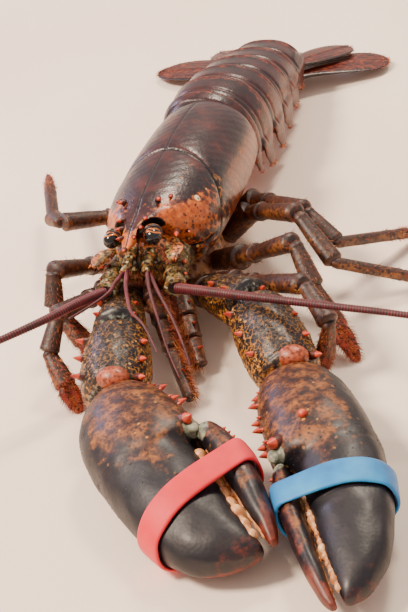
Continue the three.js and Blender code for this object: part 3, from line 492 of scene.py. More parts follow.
# Bulging rings along a line of points that carry "radius".
def ringTree():
    tree, start, end = newTree("feeler rings", [("Spacing", "Float"), ("Bulge", "Float"),
                                                 ("Material", "Material")])
    line = addNode(tree, "GeometryNodeMeshToCurve", links={"Mesh": start.outputs["Geometry"]})
    steps = addNode(tree, "GeometryNodeResampleCurve", {"mode": "LENGTH"},
                    {"Curve": line.outputs[0], "Length": start.outputs["Spacing"]})
    turn = aligned(tree, addNode(tree, "GeometryNodeInputTangent").outputs[0])
    wide = calculate(tree, "MULTIPLY", storedLayer(tree, "radius"), start.outputs["Bulge"])
    deep = calculate(tree, "MULTIPLY", start.outputs["Spacing"], 0.47)
    bead = addNode(tree, "GeometryNodeMeshUVSphere", links={"Segments": 12, "Rings": 4, "Radius": 1.0})
    return closeTree(tree, start, end, steps.outputs[0], bead, turn, wide, deep)


bristles, grains, rings = bristleTree(), grainTree(), ringTree()


# Shell is chitin hardened with lime. Cell sizes are in millimetres, depths in metres.
shellTexture = {
    "edge": (0.32, 0.68), "warp": 0.0016, "pit": 0.0003, "wave": 0.0008, "ior": 1.52, "coatRoughness": 0.2}


# Layers are (name, how torn its edge is, colours). Spots are (layer or None, feature, cell, reach, colour).
def chitin(name, look):
    material, tree = newMaterial(name)
    spot = objectSpot(tree)
    coarse = noise(tree, spot, 1000 / look["cloud"], Detail=5.0, Roughness=0.62)
    ragged = noise(tree, spot, 1000 / look["fleck"], Detail=4.0, Roughness=0.66)
    colour = tinted(tree, coarse.outputs[0], look["base"])
    for layer, torn, stops in look.get("layers", ()):
        edge = calculate(tree, "MULTIPLY_ADD", ragged.outputs[0], torn, -torn / 2)
        total = calculate(tree, "ADD", layerShare(tree, layer), edge)
        share = addNode(tree, "ShaderNodeMapRange", {"interpolation_type": "SMOOTHSTEP"}, {
            "Value": total, "From Min": shellTexture["edge"][0], "From Max": shellTexture["edge"][1]})
        colour = covered(tree, share.outputs[0], colour, tinted(tree, ragged.outputs[0], stops))
    bent = addNode(tree, "ShaderNodeVectorMath", {"operation": "MULTIPLY_ADD"}, {
        0: ragged.outputs["Color"], 1: (shellTexture["warp"],) * 3, 2: spot})
    for layer, feature, cell, reach, shade in look.get("spots", ()):
        cells = addNode(tree, "ShaderNodeTexVoronoi", {"feature": feature}, {
            "Vector": bent.outputs[0], "Scale": 1000 / cell})
        torn = calculate(tree, "MULTIPLY_ADD", ragged.outputs[0], reach * 1.6, cells.outputs["Distance"])
        mask = addNode(tree, "ShaderNodeMapRange", {"interpolation_type": "SMOOTHSTEP"}, {
            "Value": torn, "From Min": reach * 1.55, "From Max": reach * 2.05, "To Min": 0.9, "To Max": 0.0})
        share = mask.outputs[0]
        if layer:
            share = calculate(tree, "MULTIPLY", share, layerShare(tree, layer))
        colour = covered(tree, share, colour, linear(shade))
    gloss = addNode(tree, "ShaderNodeMapRange", links={
        "Value": ragged.outputs[0], "From Min": 0.3, "From Max": 0.7,
        "To Min": look["roughness"][0], "To Max": look["roughness"][1]})
    pores = addNode(tree, "ShaderNodeTexVoronoi", links={"Vector": spot, "Scale": 1000 / look["pore"]})
    pits = addNode(tree, "ShaderNodeBump", links={
        "Height": pores.outputs["Distance"], "Strength": look["relief"], "Distance": shellTexture["pit"]})
    waves = addNode(tree, "ShaderNodeBump", links={
        "Height": coarse.outputs[0], "Strength": look["relief"] * 0.6, "Distance": shellTexture["wave"],
        "Normal": pits.outputs[0]})
    closeMaterial(tree, {
        "Base Color": colour, "Roughness": gloss.outputs[0], "IOR": shellTexture["ior"],
        "Normal": waves.outputs[0],
        "Coat Weight": look["coat"], "Coat Roughness": shellTexture["coatRoughness"]})
    return material


backShell = chitin("hard chitin of the back", {  # glossy purple-brown over an orange cheek, dark freckles
    "cloud": 16, "fleck": 2.6, "pore": 1.1, "relief": 0.22, "roughness": (0.27, 0.4), "coat": 0.1,
    "base": [(0.3, "#12080f"), (0.5, "#2b1119"), (0.7, "#57221d")],
    "layers": [
        ("pink", 0.8, [(0.25, "#471a0c"), (0.55, "#7d3614"), (0.8, "#b0642c")]),
        ("orange", 1.1, [(0.25, "#7a2f0b"), (0.5, "#b9530f"), (0.8, "#de8436")]),
        ("rim", 0.6, [(0.3, "#a5490a"), (0.7, "#e0861f")]),
        ("net", 1.3, [(0.3, "#7d4a18"), (0.7, "#c98f3e")]),
        # line: painted shade in the grooves, along the midline and in the low crease, and a painted shadow in
        # each eye socket
        ("line", 0.0, [(0.0, "#080408"), (1.0, "#080408")]),
        ("mark", 0.0, [(0.0, "#ecd9a0"), (1.0, "#f3e6bd")]),
    ],
    "spots": [("freckle", "F1", 2.5, 0.6, "#0a0510"), ("speck", "F1", 2.4, 0.26, "#1a0a10"),
              ("freckle", "F1", 6.5, 0.1, "#e8b868")],
})
tailShell = chitin("hard chitin of the tail", {  # dark purple-brown, rusty flanks, pale orange edges
    "cloud": 12, "fleck": 3, "pore": 1.0, "relief": 0.24, "roughness": (0.28, 0.42), "coat": 0.1,
    "base": [(0.3, "#12080f"), (0.5, "#2a1119"), (0.75, "#54211b")],
    "layers": [
        ("rust", 0.9, [(0.3, "#300b0a"), (0.55, "#5c1c0e"), (0.8, "#a04c1a")]),
        ("edge", 0.6, [(0.3, "#8c3014"), (0.7, "#c9693a")]),
        # dark: on the tail rings, painted shade at each ring's front, under the ring before, and in its
        # groove; on the fan, the blades' darker rims and ribs
        ("dark", 0.7, [(0.3, "#0e060b"), (0.7, "#2a0e0f")]),
    ],
    "spots": [("rust", "F1", 3.0, 0.34, "#12080d")],
})
clawShell = chitin("thick chitin of the claws", {  # brown-orange mottling that gives way to navy black
    "cloud": 11, "fleck": 5.0, "pore": 1.5, "relief": 0.14, "roughness": (0.4, 0.54), "coat": 0.02,
    "base": [(0.3, "#04030c"), (0.55, "#0a0512"), (0.8, "#240d12")],
    "layers": [
        ("brown", 1.3, [(0.25, "#1c0c0c"), (0.45, "#4a220e"), (0.72, "#9c5c20")]),
        # grey: a painted sheen along the outer edge of each palm
        ("grey", 0.9, [(0.3, "#251a1e"), (0.7, "#54423d")]),
        ("rust", 0.9, [(0.3, "#3a0f0c"), (0.7, "#7c2e18")]),
        ("hinge", 1.1, [(0.3, "#3c3d36"), (0.5, "#7d8270"), (0.75, "#c2c2a8")]),
    ],
    "spots": [("brown", "F1", 1.7, 0.46, "#150910"), ("brown", "F1", 4.5, 0.12, "#c08138")],
})
armShell = chitin("netted chitin of the arms", {  # navy black, netted on the flanks with yellow-orange
    "cloud": 8, "fleck": 2.0, "pore": 1.2, "relief": 0.3, "roughness": (0.38, 0.52), "coat": 0.04,
    "base": [(0.32, "#07060f"), (0.5, "#130d16"), (0.64, "#3b2f25"), (0.8, "#75684f")],
    "layers": [
        ("rust", 1.7, [(0.25, "#4f2a0e"), (0.5, "#a4621c"), (0.75, "#dc9a3d")]),
        # pale: the real pale skin at the joints, and a painted highlight along the top
        ("pale", 1.2, [(0.3, "#3c4a48"), (0.7, "#8f988a")]),
    ],
    "spots": [("net", "DISTANCE_TO_EDGE", 2.1, 0.06, "#c27f22"), (None, "F1", 1.7, 0.46, "#08050e"),
              ("net", "F1", 3.4, 0.16, "#ecb25a"), (None, "F1", 6.0, 0.09, "#c98a3a")],
})
legShell = chitin("thin chitin of the legs", {  # orange-brown with dark freckles, redder to the tips
    "cloud": 8, "fleck": 1.7, "pore": 1.0, "relief": 0.26, "roughness": (0.42, 0.58), "coat": 0.03,
    "base": [(0.3, "#241009"), (0.5, "#54290f"), (0.72, "#925a26")],
    "layers": [
        ("top", 1.2, [(0.3, "#190b0e"), (0.7, "#432015")]),
        ("red", 1.0, [(0.3, "#64160b"), (0.7, "#b23c1f")]),
        ("joint", 0.6, [(0.3, "#12080b"), (0.6, "#3d1a12"), (0.75, "#a3562f")]),
    ],
    "spots": [(None, "F1", 1.7, 0.4, "#12080c"), ("red", "F1", 2.6, 0.16, "#e79a4a")],
})
faceShell = chitin("mottled chitin of the face", {  # grey-green and olive yellow, with dark blotches
    "cloud": 3.6, "fleck": 1.3, "pore": 0.9, "relief": 0.4, "roughness": (0.34, 0.52), "coat": 0.06,
    "base": [(0.34, "#120b10"), (0.42, "#4e3a1e"), (0.54, "#8a7038"), (0.66, "#9aa08c")],
    "layers": [
        ("rust", 1.2, [(0.3, "#6b2409"), (0.5, "#bb5c1d"), (0.75, "#e69a57")]),
        ("joint", 0.5, [(0.3, "#0c060a"), (0.7, "#2b1614")]),
    ],
    "spots": [(None, "F1", 1.6, 0.44, "#0f080e"), (None, "F1", 4.1, 0.15, "#ddd2a4")],
})
feelerShell = chitin("jointed chitin of the feelers", {  # purple-red rings
    "cloud": 7, "fleck": 1.4, "pore": 0.8, "relief": 0.15, "roughness": (0.38, 0.55), "coat": 0.05,
    "base": [(0.3, "#4b0f1c"), (0.55, "#74222b"), (0.8, "#93423f")],
})
feelerCore = chitin("thin skin between the rings", {  # the darker lines that part them
    "cloud": 7, "fleck": 1.4, "pore": 0.8, "relief": 0.1, "roughness": (0.5, 0.65), "coat": 0.0,
    "base": [(0.3, "#250910"), (0.7, "#3d121a")],
})
coralTips = chitin("coral-red chitin of the spines", {  # warm coral, dark roots, freckled on big knobs
    "cloud": 5, "fleck": 1.6, "pore": 0.9, "relief": 0.2, "roughness": (0.34, 0.48), "coat": 0.1,
    "base": [(0.3, "#a02412"), (0.55, "#cb4426"), (0.8, "#e26a46")],
    "layers": [
        ("root", 0.9, [(0.3, "#2a0f0d"), (0.7, "#5c2416")]),
        ("knob", 0.8, [(0.3, "#7c3018"), (0.7, "#c05f36")]),
    ],
    "spots": [("freckle", "F1", 1.5, 0.4, "#4a1310")],
})
toothEnamel = chitin("worn limy chitin of the teeth", {  # cream, clouded with tan
    "cloud": 5, "fleck": 2, "pore": 1.2, "relief": 0.25, "roughness": (0.3, 0.5), "coat": 0.1,
    "base": [(0.32, "#8a4a28"), (0.5, "#cd8a55"), (0.68, "#f0c492")],
})
bellyShell = chitin("pale chitin of the underside", {  # tan and cream, with rusty seams
    "cloud": 9, "fleck": 2.4, "pore": 1.1, "relief": 0.25, "roughness": (0.38, 0.58), "coat": 0.05,
    "base": [(0.3, "#5a2c18"), (0.5, "#96603a"), (0.75, "#c29a70")],
    "spots": [(None, "F1", 3, 0.36, "#4a2012")],
})


def bristleHorn():
    material, tree = newMaterial("horny bristle")  # thin amber-red hairs, clouded paler and redder
    cloud = noise(tree, objectSpot(tree), 220.0, Detail=2.0)
    tint = tinted(tree, cloud.outputs[0], [(0.35, "#7e2c1c"), (0.55, "#b4582c"), (0.75, "#d79a55")])
    closeMaterial(tree, {"Base Color": tint, "Roughness": 0.45, "IOR": 1.54})
    return material


def cornea():
    material, tree = newMaterial("faceted cornea")  # black and wet, with facets too fine to count
    spot = objectSpot(tree)
    # facets of 0.22 mm, where the real ones are 0.06 mm
    facets = addNode(tree, "ShaderNodeTexVoronoi", links={"Vector": spot, "Scale": 1000 / 0.22})
    depth = noise(tree, spot, 260.0, Detail=3.0)
    tint = tinted(tree, depth.outputs[0], [(0.4, "#050508"), (0.7, "#141320")])
    # orange stripes: a painted reflection over the top of the eye, and the real banded edge where the cornea
    # meets the stalk
    tint = covered(tree, layerShare(tree, "stripe"), tint, linear("#c56f1c"))
    bump = addNode(tree, "ShaderNodeBump", links={
        "Height": facets.outputs["Distance"], "Strength": 0.08, "Distance": 0.0001})
    closeMaterial(tree, {
        "Base Color": tint, "Roughness": 0.16, "IOR": 1.45, "Normal": bump.outputs[0],
        "Coat Weight": 0.4, "Coat Roughness": 0.06})
    return material


def rubber(name, dark, plain, worn):
    material, tree = newMaterial(name)  # soft vulcanised rubber: even colour, with chalky patches
    spot = objectSpot(tree)
    cloud = noise(tree, spot, 1000 / 14, Detail=3.0)
    dust = noise(tree, spot, 1000 / 0.9, Detail=2.0)
    tint = tinted(tree, cloud.outputs[0], [(0.3, dark), (0.5, plain), (0.75, worn)])
    bump = addNode(tree, "ShaderNodeBump", links={"Height": dust.outputs[0], "Strength": 0.15,
        "Distance": 0.0002})
    matt = addNode(tree, "ShaderNodeMapRange", links={"Value": dust.outputs[0],
        "To Min": 0.48, "To Max": 0.66})
    closeMaterial(tree, {
        "Base Color": tint, "Roughness": matt.outputs[0], "IOR": 1.52, "Normal": bump.outputs[0],
        "Sheen Weight": 0.15})
    return material


hairHorn, eyeGlass = bristleHorn(), cornea()
coralRubber = rubber("coral rubber", "#c4001c", "#dd0422", "#ea1c36")
blueRubber = rubber("light blue rubber", "#0064a8", "#047fc4", "#2a9ed8")
print("lobster: trees and materials")


# Carapace. It is shaped upright about the midline, and bodyMatrix then turns and leans it into the pose.
body = {
    "turn": -2, "lean": -6, "pivot": (0, 0, 40), "shift": (1.1, 0.9, 0.3),
    "orbitY": -62, "rearEdge": 40, "grooveY": -13, "voxel": 0.5,
    # y at the top, half width, top, low edge, height of the widest part, how far the low edge lies back
    "rows": [[40, 20.5, 55.2, 24, 37, 0], [35, 23, 57.3, 20.5, 37, 2], [22, 24.7, 59.3, 18.8, 36, -3],
             [2, 25.2, 60.2, 18, 36, -13], [-9, 25, 59.8, 18.2, 37, -27], [-13, 24.4, 58.8, 19, 37, -30],
             [-17, 24.8, 59.3, 19.3, 37, -27.5], [-32, 23.8, 58.4, 20.3, 38, -14],
             [-46, 21.4, 56.9, 21.5, 39, -1.5],
             [-56, 17.8, 55.2, 23, 40, 7.5], [-62, 14, 54, 25, 41, 12]],
    "rostrum": [[-50, 14.5, 54.6, 45, 49.5, 0], [-54, 14.5, 55, 45, 49.5, 0], [-62, 8.6, 54.2, 46.5, 50, 0],
                [-69, 5.2, 52.9, 46.8, 49.6, 0], [-74, 3.4, 51.4, 46.8, 48.8, 0], [-78, 2, 50, 46.9, 48.2, 0],
                [-80.6, 0.5, 48.9, 47.9, 48.4, 0]],
    "mouth": [[-59, 15, 44, 24, 36, 9], [-62, 14, 45, 24, 36, 11], [-74, 12, 45, 20, 36, 12]],
    "mouthWall": 1.4,
    # x, y, z, radius and length of a spine on the beak, and what of that stands out
    "spines": [[8, -51.5, 55.4, 1.5, 5], [5.2, -63, 53.2, 1.4, 5.6], [4.4, -68, 52, 1.4, 5.6],
               [2.9, -73.5, 50.8, 1.2, 5]],
    "spineShare": (0.85, 0.82),
    "eye": (8.4, -68, 48.2), "eyeRadius": 4.1, "socket": (6.2, 8, 5.4), "mark": (19.5, -40.1, 47.9),
}
bodyMatrix = (Matrix.Translation(Vector(body["pivot"]) + Vector(body["shift"]))
              @ Matrix.Rotation(math.radians(body["turn"]), 4, "Z")
              @ Matrix.Rotation(math.radians(body["lean"]), 4, "Y")
              @ Matrix.Translation(-Vector(body["pivot"])))


def bodyRings(rows, sides, shrink=0.0):
    made = []
    across, height = np.sin(circle(sides)), np.cos(circle(sides))
    for y, halfWidth, top, low, middle, lean in rows:
        halfWidth, top, low = halfWidth - shrink, top - shrink, low + shrink
        x = halfWidth * signedPower(across, np.where(height > 0, 1.04, 0.86))
        z = middle + np.where(height > 0, (top - middle) * height, (low - middle) * np.abs(height) ** 0.7)
        made.append(np.stack([x, y + lean * (top - z) / (top - low), z], -1))
    return made


# Where a point of the carapace lies: its row's y, and its share of the way from the back to the low edge.
def bodyShares(points):
    rows = np.array(body["rows"])[::-1]
    row = points[:, 1].copy()
    for _ in range(60):
        top, low, lean = (np.interp(row, rows[:, 0], rows[:, i]) for i in (2, 3, 5))
        down = np.clip((top - points[:, 2]) / (top - low), 0, 1)
        row = 0.5 * row + 0.5 * (points[:, 1] - lean * down)
    return row, down


def carapaceShell():
    x, y, z = body["eye"]
    sockets = [knob((side * x, y + 1, z), body["socket"], 32, 20) for side in (1, -1)]
    hollow = melted("hollow", [*sockets, loft(bodyRings(body["mouth"], 48, body["mouthWall"]))], 0.6, 2)
    back, beak = bodyRings(smoothRows(body["rows"], 8), 96), bodyRings(smoothRows(body["rostrum"], 4), 48)
    shell = melted("carapace", [loft(back), loft(beak)], body["voxel"], 18, hollow)
    bpy.data.objects.remove(hollow)
    return shell


def carveCarapace(shell):
    points, normals = coordinates(shell), outwards(shell)
    row, down = bodyShares(points)
    groove = bell(row, body["grooveY"], 0.7)
    crease = bell(down, 0.75, 0.03) * rise(row, -14, -22) * rise(row, -62, -56)
    middle = bell(points[:, 0], 0, 0.55) * rise(points[:, 2], 45, 50) * rise(row, 39, 34)
    beak = rise(points[:, 1], -50, -60) * rise(points[:, 2], 46, 49)
    trough = bell(points[:, 0], 0, 0.24 * np.clip(84 + points[:, 1], 4, 30)) * beak
    rimRear = bell(row, 37, 1.2) * (row < 39.5)
    rimLow = rise(down, 0.9, 0.97)
    ripple = np.sin(points[:, 1] * 0.9 + points[:, 2] * 0.7) * np.sin(points[:, 0] * 0.8 - points[:, 1] * 0.3)
    depth = (-0.7 * groove - 0.9 * crease - 0.35 * middle - 0.9 * trough - 0.6 * rimRear
             + 0.35 * rimLow + 0.05 * ripple - 0.12)
    place(shell, points + normals * depth[:, None])
    return points, row, down, groove, crease, middle


def paintCarapace(shell, points, row, down, groove, crease, middle):
    head = row < body["grooveY"]
    cheek = rise(down + 0.004 * (-row - 30), 0.17, 0.36) * rise(row, -12, -20)
    streak = 0.34 * bell(down, 0.09, 0.05) + 0.24 * rise(row, -40, -54) * rise(row, -74, -60)
    front = bell(np.minimum(row + 25, 0), 0, 9) * rise(row, 0, -8)
    fromMark = np.linalg.norm(points - np.array(body["mark"]), axis=1)
    # a painted shadow darkens a crescent in each eye socket, and yellow netting lies along the groove's lower
    # half
    x, y, z = body["eye"]
    sockets = np.stack([np.sign(points[:, 0]) * x, np.full(len(points), y + 1), np.full(len(points), z)], -1)
    fromSocket = np.linalg.norm((points - sockets) / np.array(body["socket"]), axis=1)
    netting = (0.5 * rise(down, 0.16, 0.34) * bell(row, body["grooveY"], 5)
               + 0.6 * bell(fromSocket, 1.22, 0.06))
    paint(shell,
          orange=np.where(head, 0.85 * cheek + streak, 0.32 * rise(down, 0.3, 0.6)),
          speck=head * rise(down, 0.15, 0.3),
          pink=np.where(head, 0, 0.8 * rise(down, 0.2, 0.55)),
          rim=rise(down, 0.78, 0.86),
          freckle=np.clip(rise(down, 0.1, 0.25) * front * 1.4 + rise(down, 0.5, 0.62) * head, 0, 1)
          * rise(down, 0.98, 0.9),
          mark=rise(fromMark, 1.7, 1.2),
          # line is painted shade in the grooves, the midline trough and the low crease, and a painted shadow
          # in each eye socket
          line=np.clip(groove * 1.2 + middle * 0.8 + crease * 0.9 + rise(fromSocket, 1.13, 1.06), 0, 1),
          net=np.clip(netting, 0, 1) * rise(down, 0.8, 0.7),
          grain=np.clip(rise(down, 0.05, 0.25) * (0.25 + 0.75 * head), 0, 1) * (down < 0.9))


def carapaceSpines():
    parts = []
    wide, tall = body["spineShare"]
    for side in (1, -1):
        for x, y, z, radius, length in body["spines"]:
            parts.append(spine((side * x, y, z), (side * 0.55, -1, 0.45), radius * wide, length * tall, 12))
        parts.append(spine((side * 14.6, -59, 43), (side * 0.35, -1, 0.2), 1.6, 7, 14))
        parts.append(spine((side * 11.5, -47, 53.6), (side * 0.5, -1, 0.5), 1.1, 3.2, 10))
        for k in range(5):  # low points along the front of the cheek
            base = (side * (17.6 + 0.5 * k), -53.5 + 2.6 * k, 40 - 3.4 * k)
            parts.append(spine(base, (side * 0.8, -0.8, 0.1), 0.8, 2.2, 8))
    parts.append(spine((0, -79.3, 48.6), (0, -1, 0.12), 1.1, 2.2, 10))
    return makePiece("carapaceSpines", join(*parts))


def makeCarapace():
    shell = carapaceShell()
    paintCarapace(shell, *carveCarapace(shell))
    shell.data.transform(bodyMatrix)
    finishedWith(grains, "carapaceGrains", shell, "back_shell", ["carapace"], backShell,
                 Density=0.12, Radius=0.34, Height=0.13, Seed=3, Material=backShell)
    spines = carapaceSpines()
    spines.data.transform(bodyMatrix)
    finished(spines, (), coralTips)


makeCarapace()
print("lobster: carapace")


# Face, eyes and feelers.
face = {
    "plate": [[0, -48, 28, 15.5, 10], [0, -59, 33, 14.5, 10.5], [0, -65, 37, 12.5, 8.8],
              [0, -69, 39, 8.5, 5.5]],
    "lumps": [(4.2, -66.5, 41.5, 3.4), (7.5, -63.5, 34, 3.6), (3.2, -66, 31.5, 3), (11.6, -58.5, 38, 3.2)],
    "antennaRoot": (12.5, -63, 32), "antennaEnds": {1: (17.2, -82.6, 33.4), -1: (-11.8, -84.4, 32.8)},
    "feelerRadius": 2.3, "ringSpacing": 1.15, "whipSpacing": 0.8,
    "feelers": {
        1: [[18.2, -82.9, 33.5], [32, -89.5, 36.2], [51, -96.5, 38.2], [84, -105.5, 39.6],
            [115, -112.5, 39.8],
            [158, -119, 36], [202, -121, 27], [240, -117, 14], [253.6, -113.1, 8.2]],
        -1: [[-12.4, -85.4, 33.2], [-18, -97.5, 36.6], [-26.5, -112.5, 38.8], [-40, -129, 40],
             [-63, -151, 40.2],
             [-92, -177, 36], [-122, -197, 27], [-150, -213, 15], [-161.5, -218.7, 9.2]],
    },
    "whips": {
        1: [[[4.6, -77, 39], [9, -90, 37.5], [15.5, -104, 32.5], [22, -117, 27], [28.5, -128, 22.5]],
            [[5.2, -77, 38], [12, -89, 36], [20.5, -102, 32], [27, -113, 27.5], [31.5, -122, 24]]],
        -1: [[[-3.6, -77, 39], [0.5, -92, 41.4], [6.5, -108, 44.4], [11.5, -119, 46], [18.5, -127, 45.2],
              [27, -141, 43.4]],
             [[-4.4, -77, 38.2], [-4.5, -90, 41], [-3.4, -101, 43.4], [-7.5, -110, 43.6], [-15, -117, 42]]],
    },
}


def onBody(point):
    return list(bodyMatrix @ Vector(point))


def withValues(part, **values):
    points, faces, held = part
    return points, faces, {**held, **{key: np.full(len(points), float(v)) for key, v in values.items()}}


def sideName(side):
    return "left" if side > 0 else "right"


# A feeler: a thin core, and rings along the same line.
def makeFeeler(name, path, radii, spacing, nodes):
    fine = smoothRows([[*p, r] for p, r in zip(path, radii)], 12)
    core = makePiece(name, limb([[*row[:3], row[3] * 0.84, row[3] * 0.84] for row in fine], 12, 1))
    mesh = bpy.data.meshes.new(name + "Line")
    mesh.from_pydata(fine[:, :3].tolist(), [(i, i + 1) for i in range(len(fine) - 1)], [])
    line = bpy.data.objects.new(name + "Line", mesh)
    bpy.context.scene.collection.objects.link(line)
    paint(line, radius=fine[:, 3])
    beads = grown(rings, line, name + "Rings", {"Spacing": spacing, "Bulge": 1.0, "Material": feelerShell})
    bpy.data.objects.remove(line)
    finished(core, nodes, feelerCore)
    finished(beads)


def makeFace():
    # the plate between the feeler roots, with a ridged lip below and lumps where the mouth parts hang
    lumps = [knob((side * x, y, z), (r, r * 0.9, r * 0.8))
             for side in (1, -1) for x, y, z, r in face["lumps"]]
    ridge = knob((0, -69, 36.5), (1.6, 3.2, 4.4))
    plate = melted("face", [limb(face["plate"], 48, 8, power=2.6), *lumps, ridge], 0.45, 5)
    points = coordinates(plate)
    paint(plate,
          rust=rise(points[:, 2], 36, 42) * 0.55 + 0.1,
          joint=0.8 * bell(points[:, 0], 0, 0.8) + 0.7 * bell(points[:, 2], 36, 0.9),
          hair=rise(points[:, 1], -60, -64) * rise(points[:, 2], 38, 30))
    combed(plate, [0, -0.8, -0.9])
    plate.data.transform(bodyMatrix)
    finishedWith(bristles, "faceBristles", plate, "face_shell", ["face"], faceShell,
                 Density=0.9, Length=3.2, Radius=0.1, Seed=5, Material=hairHorn)
    for side in (1, -1):
        makeEye(side)
        makeAntennaBase(side)
        makeAntennaScale(side)
        path = face["feelers"][side]
        radii = [face["feelerRadius"] * (1 - 0.78 * i / (len(path) - 1)) for i in range(len(path))]
        name = "antenna_" + sideName(side)
        makeFeeler(name, path, radii, face["ringSpacing"], [name])
        makeAntennule(side)


def makeEye(side):
    x, y, z = body["eye"]
    radius = body["eyeRadius"] * 0.84
    centre = np.array([side * (x + 0.8), y - 1.6, z])
    ball = knob(centre, (radius, radius, radius), 64, 40)
    # orange stripes over the top and back of the ball: a painted reflection, and the real banded edge where
    # the cornea meets the stalk
    facing = unit(ball[0] - centre) @ unit(np.array([side * 0.15, 0.62, 0.75]))
    wobble = 0.05 * np.sin(ball[0] @ np.array([1.9, 1.1, 1.4]))
    ball[2]["stripe"] = rise(facing, 0.12, 0.2) * rise(np.cos((facing + wobble) * 15), 0.2, 0.6)
    stalk = limb([[side * 5.4, -62.5, 44.1, 2.4, 2.4], [side * 6.6, -65.5, 45.2, 2.8, 2.8],
                  [side * (x - 0.2), y + 1.2, z - 0.1, 3.9, 3.8], [side * (x + 0.3), y + 0.1, z, 3.9, 3.8],
                  [side * (x + 0.7), y - 1.2, z, 3.2, 3.15]], 40, 6)
    share = stalk[2]["along"]
    stripes = 0.5 + 0.5 * np.cos(2 * np.pi * share * 5.5)
    stalk[2]["rust"] = 0.95 * stripes * rise(share, 0.3, 0.5)
    stalk[2]["joint"] = 1.1 * (1 - stripes) * rise(share, 0.35, 0.5)
    for part, name, slot, material in (
            (ball, "eye_", "eye", eyeGlass), (stalk, "eyestalk_", "face_shell", faceShell)):
        piece = makePiece(name + sideName(side), part)
        piece.data.transform(bodyMatrix)
        finished(piece, [name + sideName(side)], material)


def makeAntennaBase(side):
    name = sideName(side)
    x, y, z = face["antennaRoot"]
    root, end = np.array(onBody((side * x, y, z))), face["antennaEnds"][side]
    blocks = [segment(between(root, end, -0.25), between(root, end, 0.3), 4.6, 5.5, 36, 0.9),
              segment(between(root, end, 0.2), between(root, end, 0.62), 4.0, 4.95, 36, 0.9),
              segment(between(root, end, 0.53), end, 3.7, 4.6, 36, 0.9)]
    for block in blocks:
        share = block[2]["along"]
        block[2]["hair"] = rise(share, 0.7, 0.9) * 0.8
        block[2]["rust"] = 0.42 * bell(share, 0.8, 0.12) + 0.1
    spikes = [spine(root + [side * 4.6, -4, 2.5], (side * 0.7, -1, 0.3), 1.3, 5.5, 12),
              spine(root + [side * 2.2, -7, 4.4], (side * 0.3, -1, 0.5), 0.8, 3, 10),
              spine(between(root, end, 0.55) + [side * 4, 0, 1.4], (side * 0.8, -1, 0.2), 0.8, 3, 10)]
    base = makePiece("antennaBase_" + name, join(*blocks))
    finishedWith(bristles, "antennaBristles_" + name, base, "face_shell", ["antenna_base_" + name], faceShell,
                 Density=0.35, Length=2.4, Radius=0.09, Seed=11 + side, Material=hairHorn)
    finished(makePiece("antennaSpines_" + name, join(*spikes)), (), coralTips)


# The leaf-like scale over a feeler's root, with its outer point and a fringe along the inner edge.
def makeAntennaScale(side):
    name = sideName(side)
    leaf = limb([[side * 13, -63, 39.6, 2.4, 1.2], [side * 15.4, -67, 40.6, 3.9, 1.1],
                 [side * 16.6, -72, 40.8, 3.3, 0.9], [side * 17, -76.5, 40.4, 1, 0.6]], 32, 7)
    inwards = np.cos(2 * np.pi * leaf[2]["around"]) * side
    leaf[2]["rust"] = 0.5 + 0.5 * -inwards
    leaf[2]["hair"] = rise(inwards, 0.72, 0.95) * rise(leaf[2]["along"], 0.15, 0.35)
    leaf[2]["comb"] = np.tile([0.4 * -side, -1.2, -0.2], (len(leaf[0]), 1))
    thorn = withValues(spine((side * 18.2, -73, 40.6), (side * 0.25, -1, 0), 1, 6.5, 12), rust=1)
    scale = makePiece("antennaScale_" + name, join(leaf, thorn))
    scale.data.transform(bodyMatrix)
    finishedWith(bristles, "scaleFringe_" + name, scale, "face_shell", ["antenna_scale_" + name], faceShell,
                 Density=5.0, Length=3.4, Radius=0.09, Seed=21 + side, Material=hairHorn)


def makeAntennule(side):
    name = sideName(side)
    rows = [[side * 3.8, -66, 42], [side * 4, -71, 41], [side * 4.3, -75.4, 39.3], [side * 4.6, -79.5, 38.3]]
    blocks = [segment(rows[0], rows[1], 2.4, 2.6, 26, 0.92),
              segment(between(rows[1], rows[0], 0.1), rows[2], 2.1, 2.35, 26, 0.92),
              segment(between(rows[2], rows[1], 0.1), rows[3], 1.7, 2.0, 26, 0.92)]
    for block in blocks:
        block[2]["rust"] = 0.1 + 0.4 * rise(block[2]["along"], 0.6, 0.9)
        block[2]["hair"] = rise(block[2]["along"], 0.75, 0.9)
    base = makePiece("antennuleBase_" + name, join(*blocks))
    finishedWith(bristles, "antennuleBristles_" + name, base, "feeler", ["antennule_" + name], faceShell,
                 Density=0.8, Length=1.8, Radius=0.07, Seed=31 + side, Material=hairHorn)
    for number, path in enumerate(face["whips"][side]):
        radii = [1.0 - 0.62 * i / (len(path) - 1) for i in range(len(path))]
        makeFeeler(f"whip_{name}_{number + 1}", path, radii, face["whipSpacing"], ())


makeFace()
print("lobster: face, eyes and feelers")


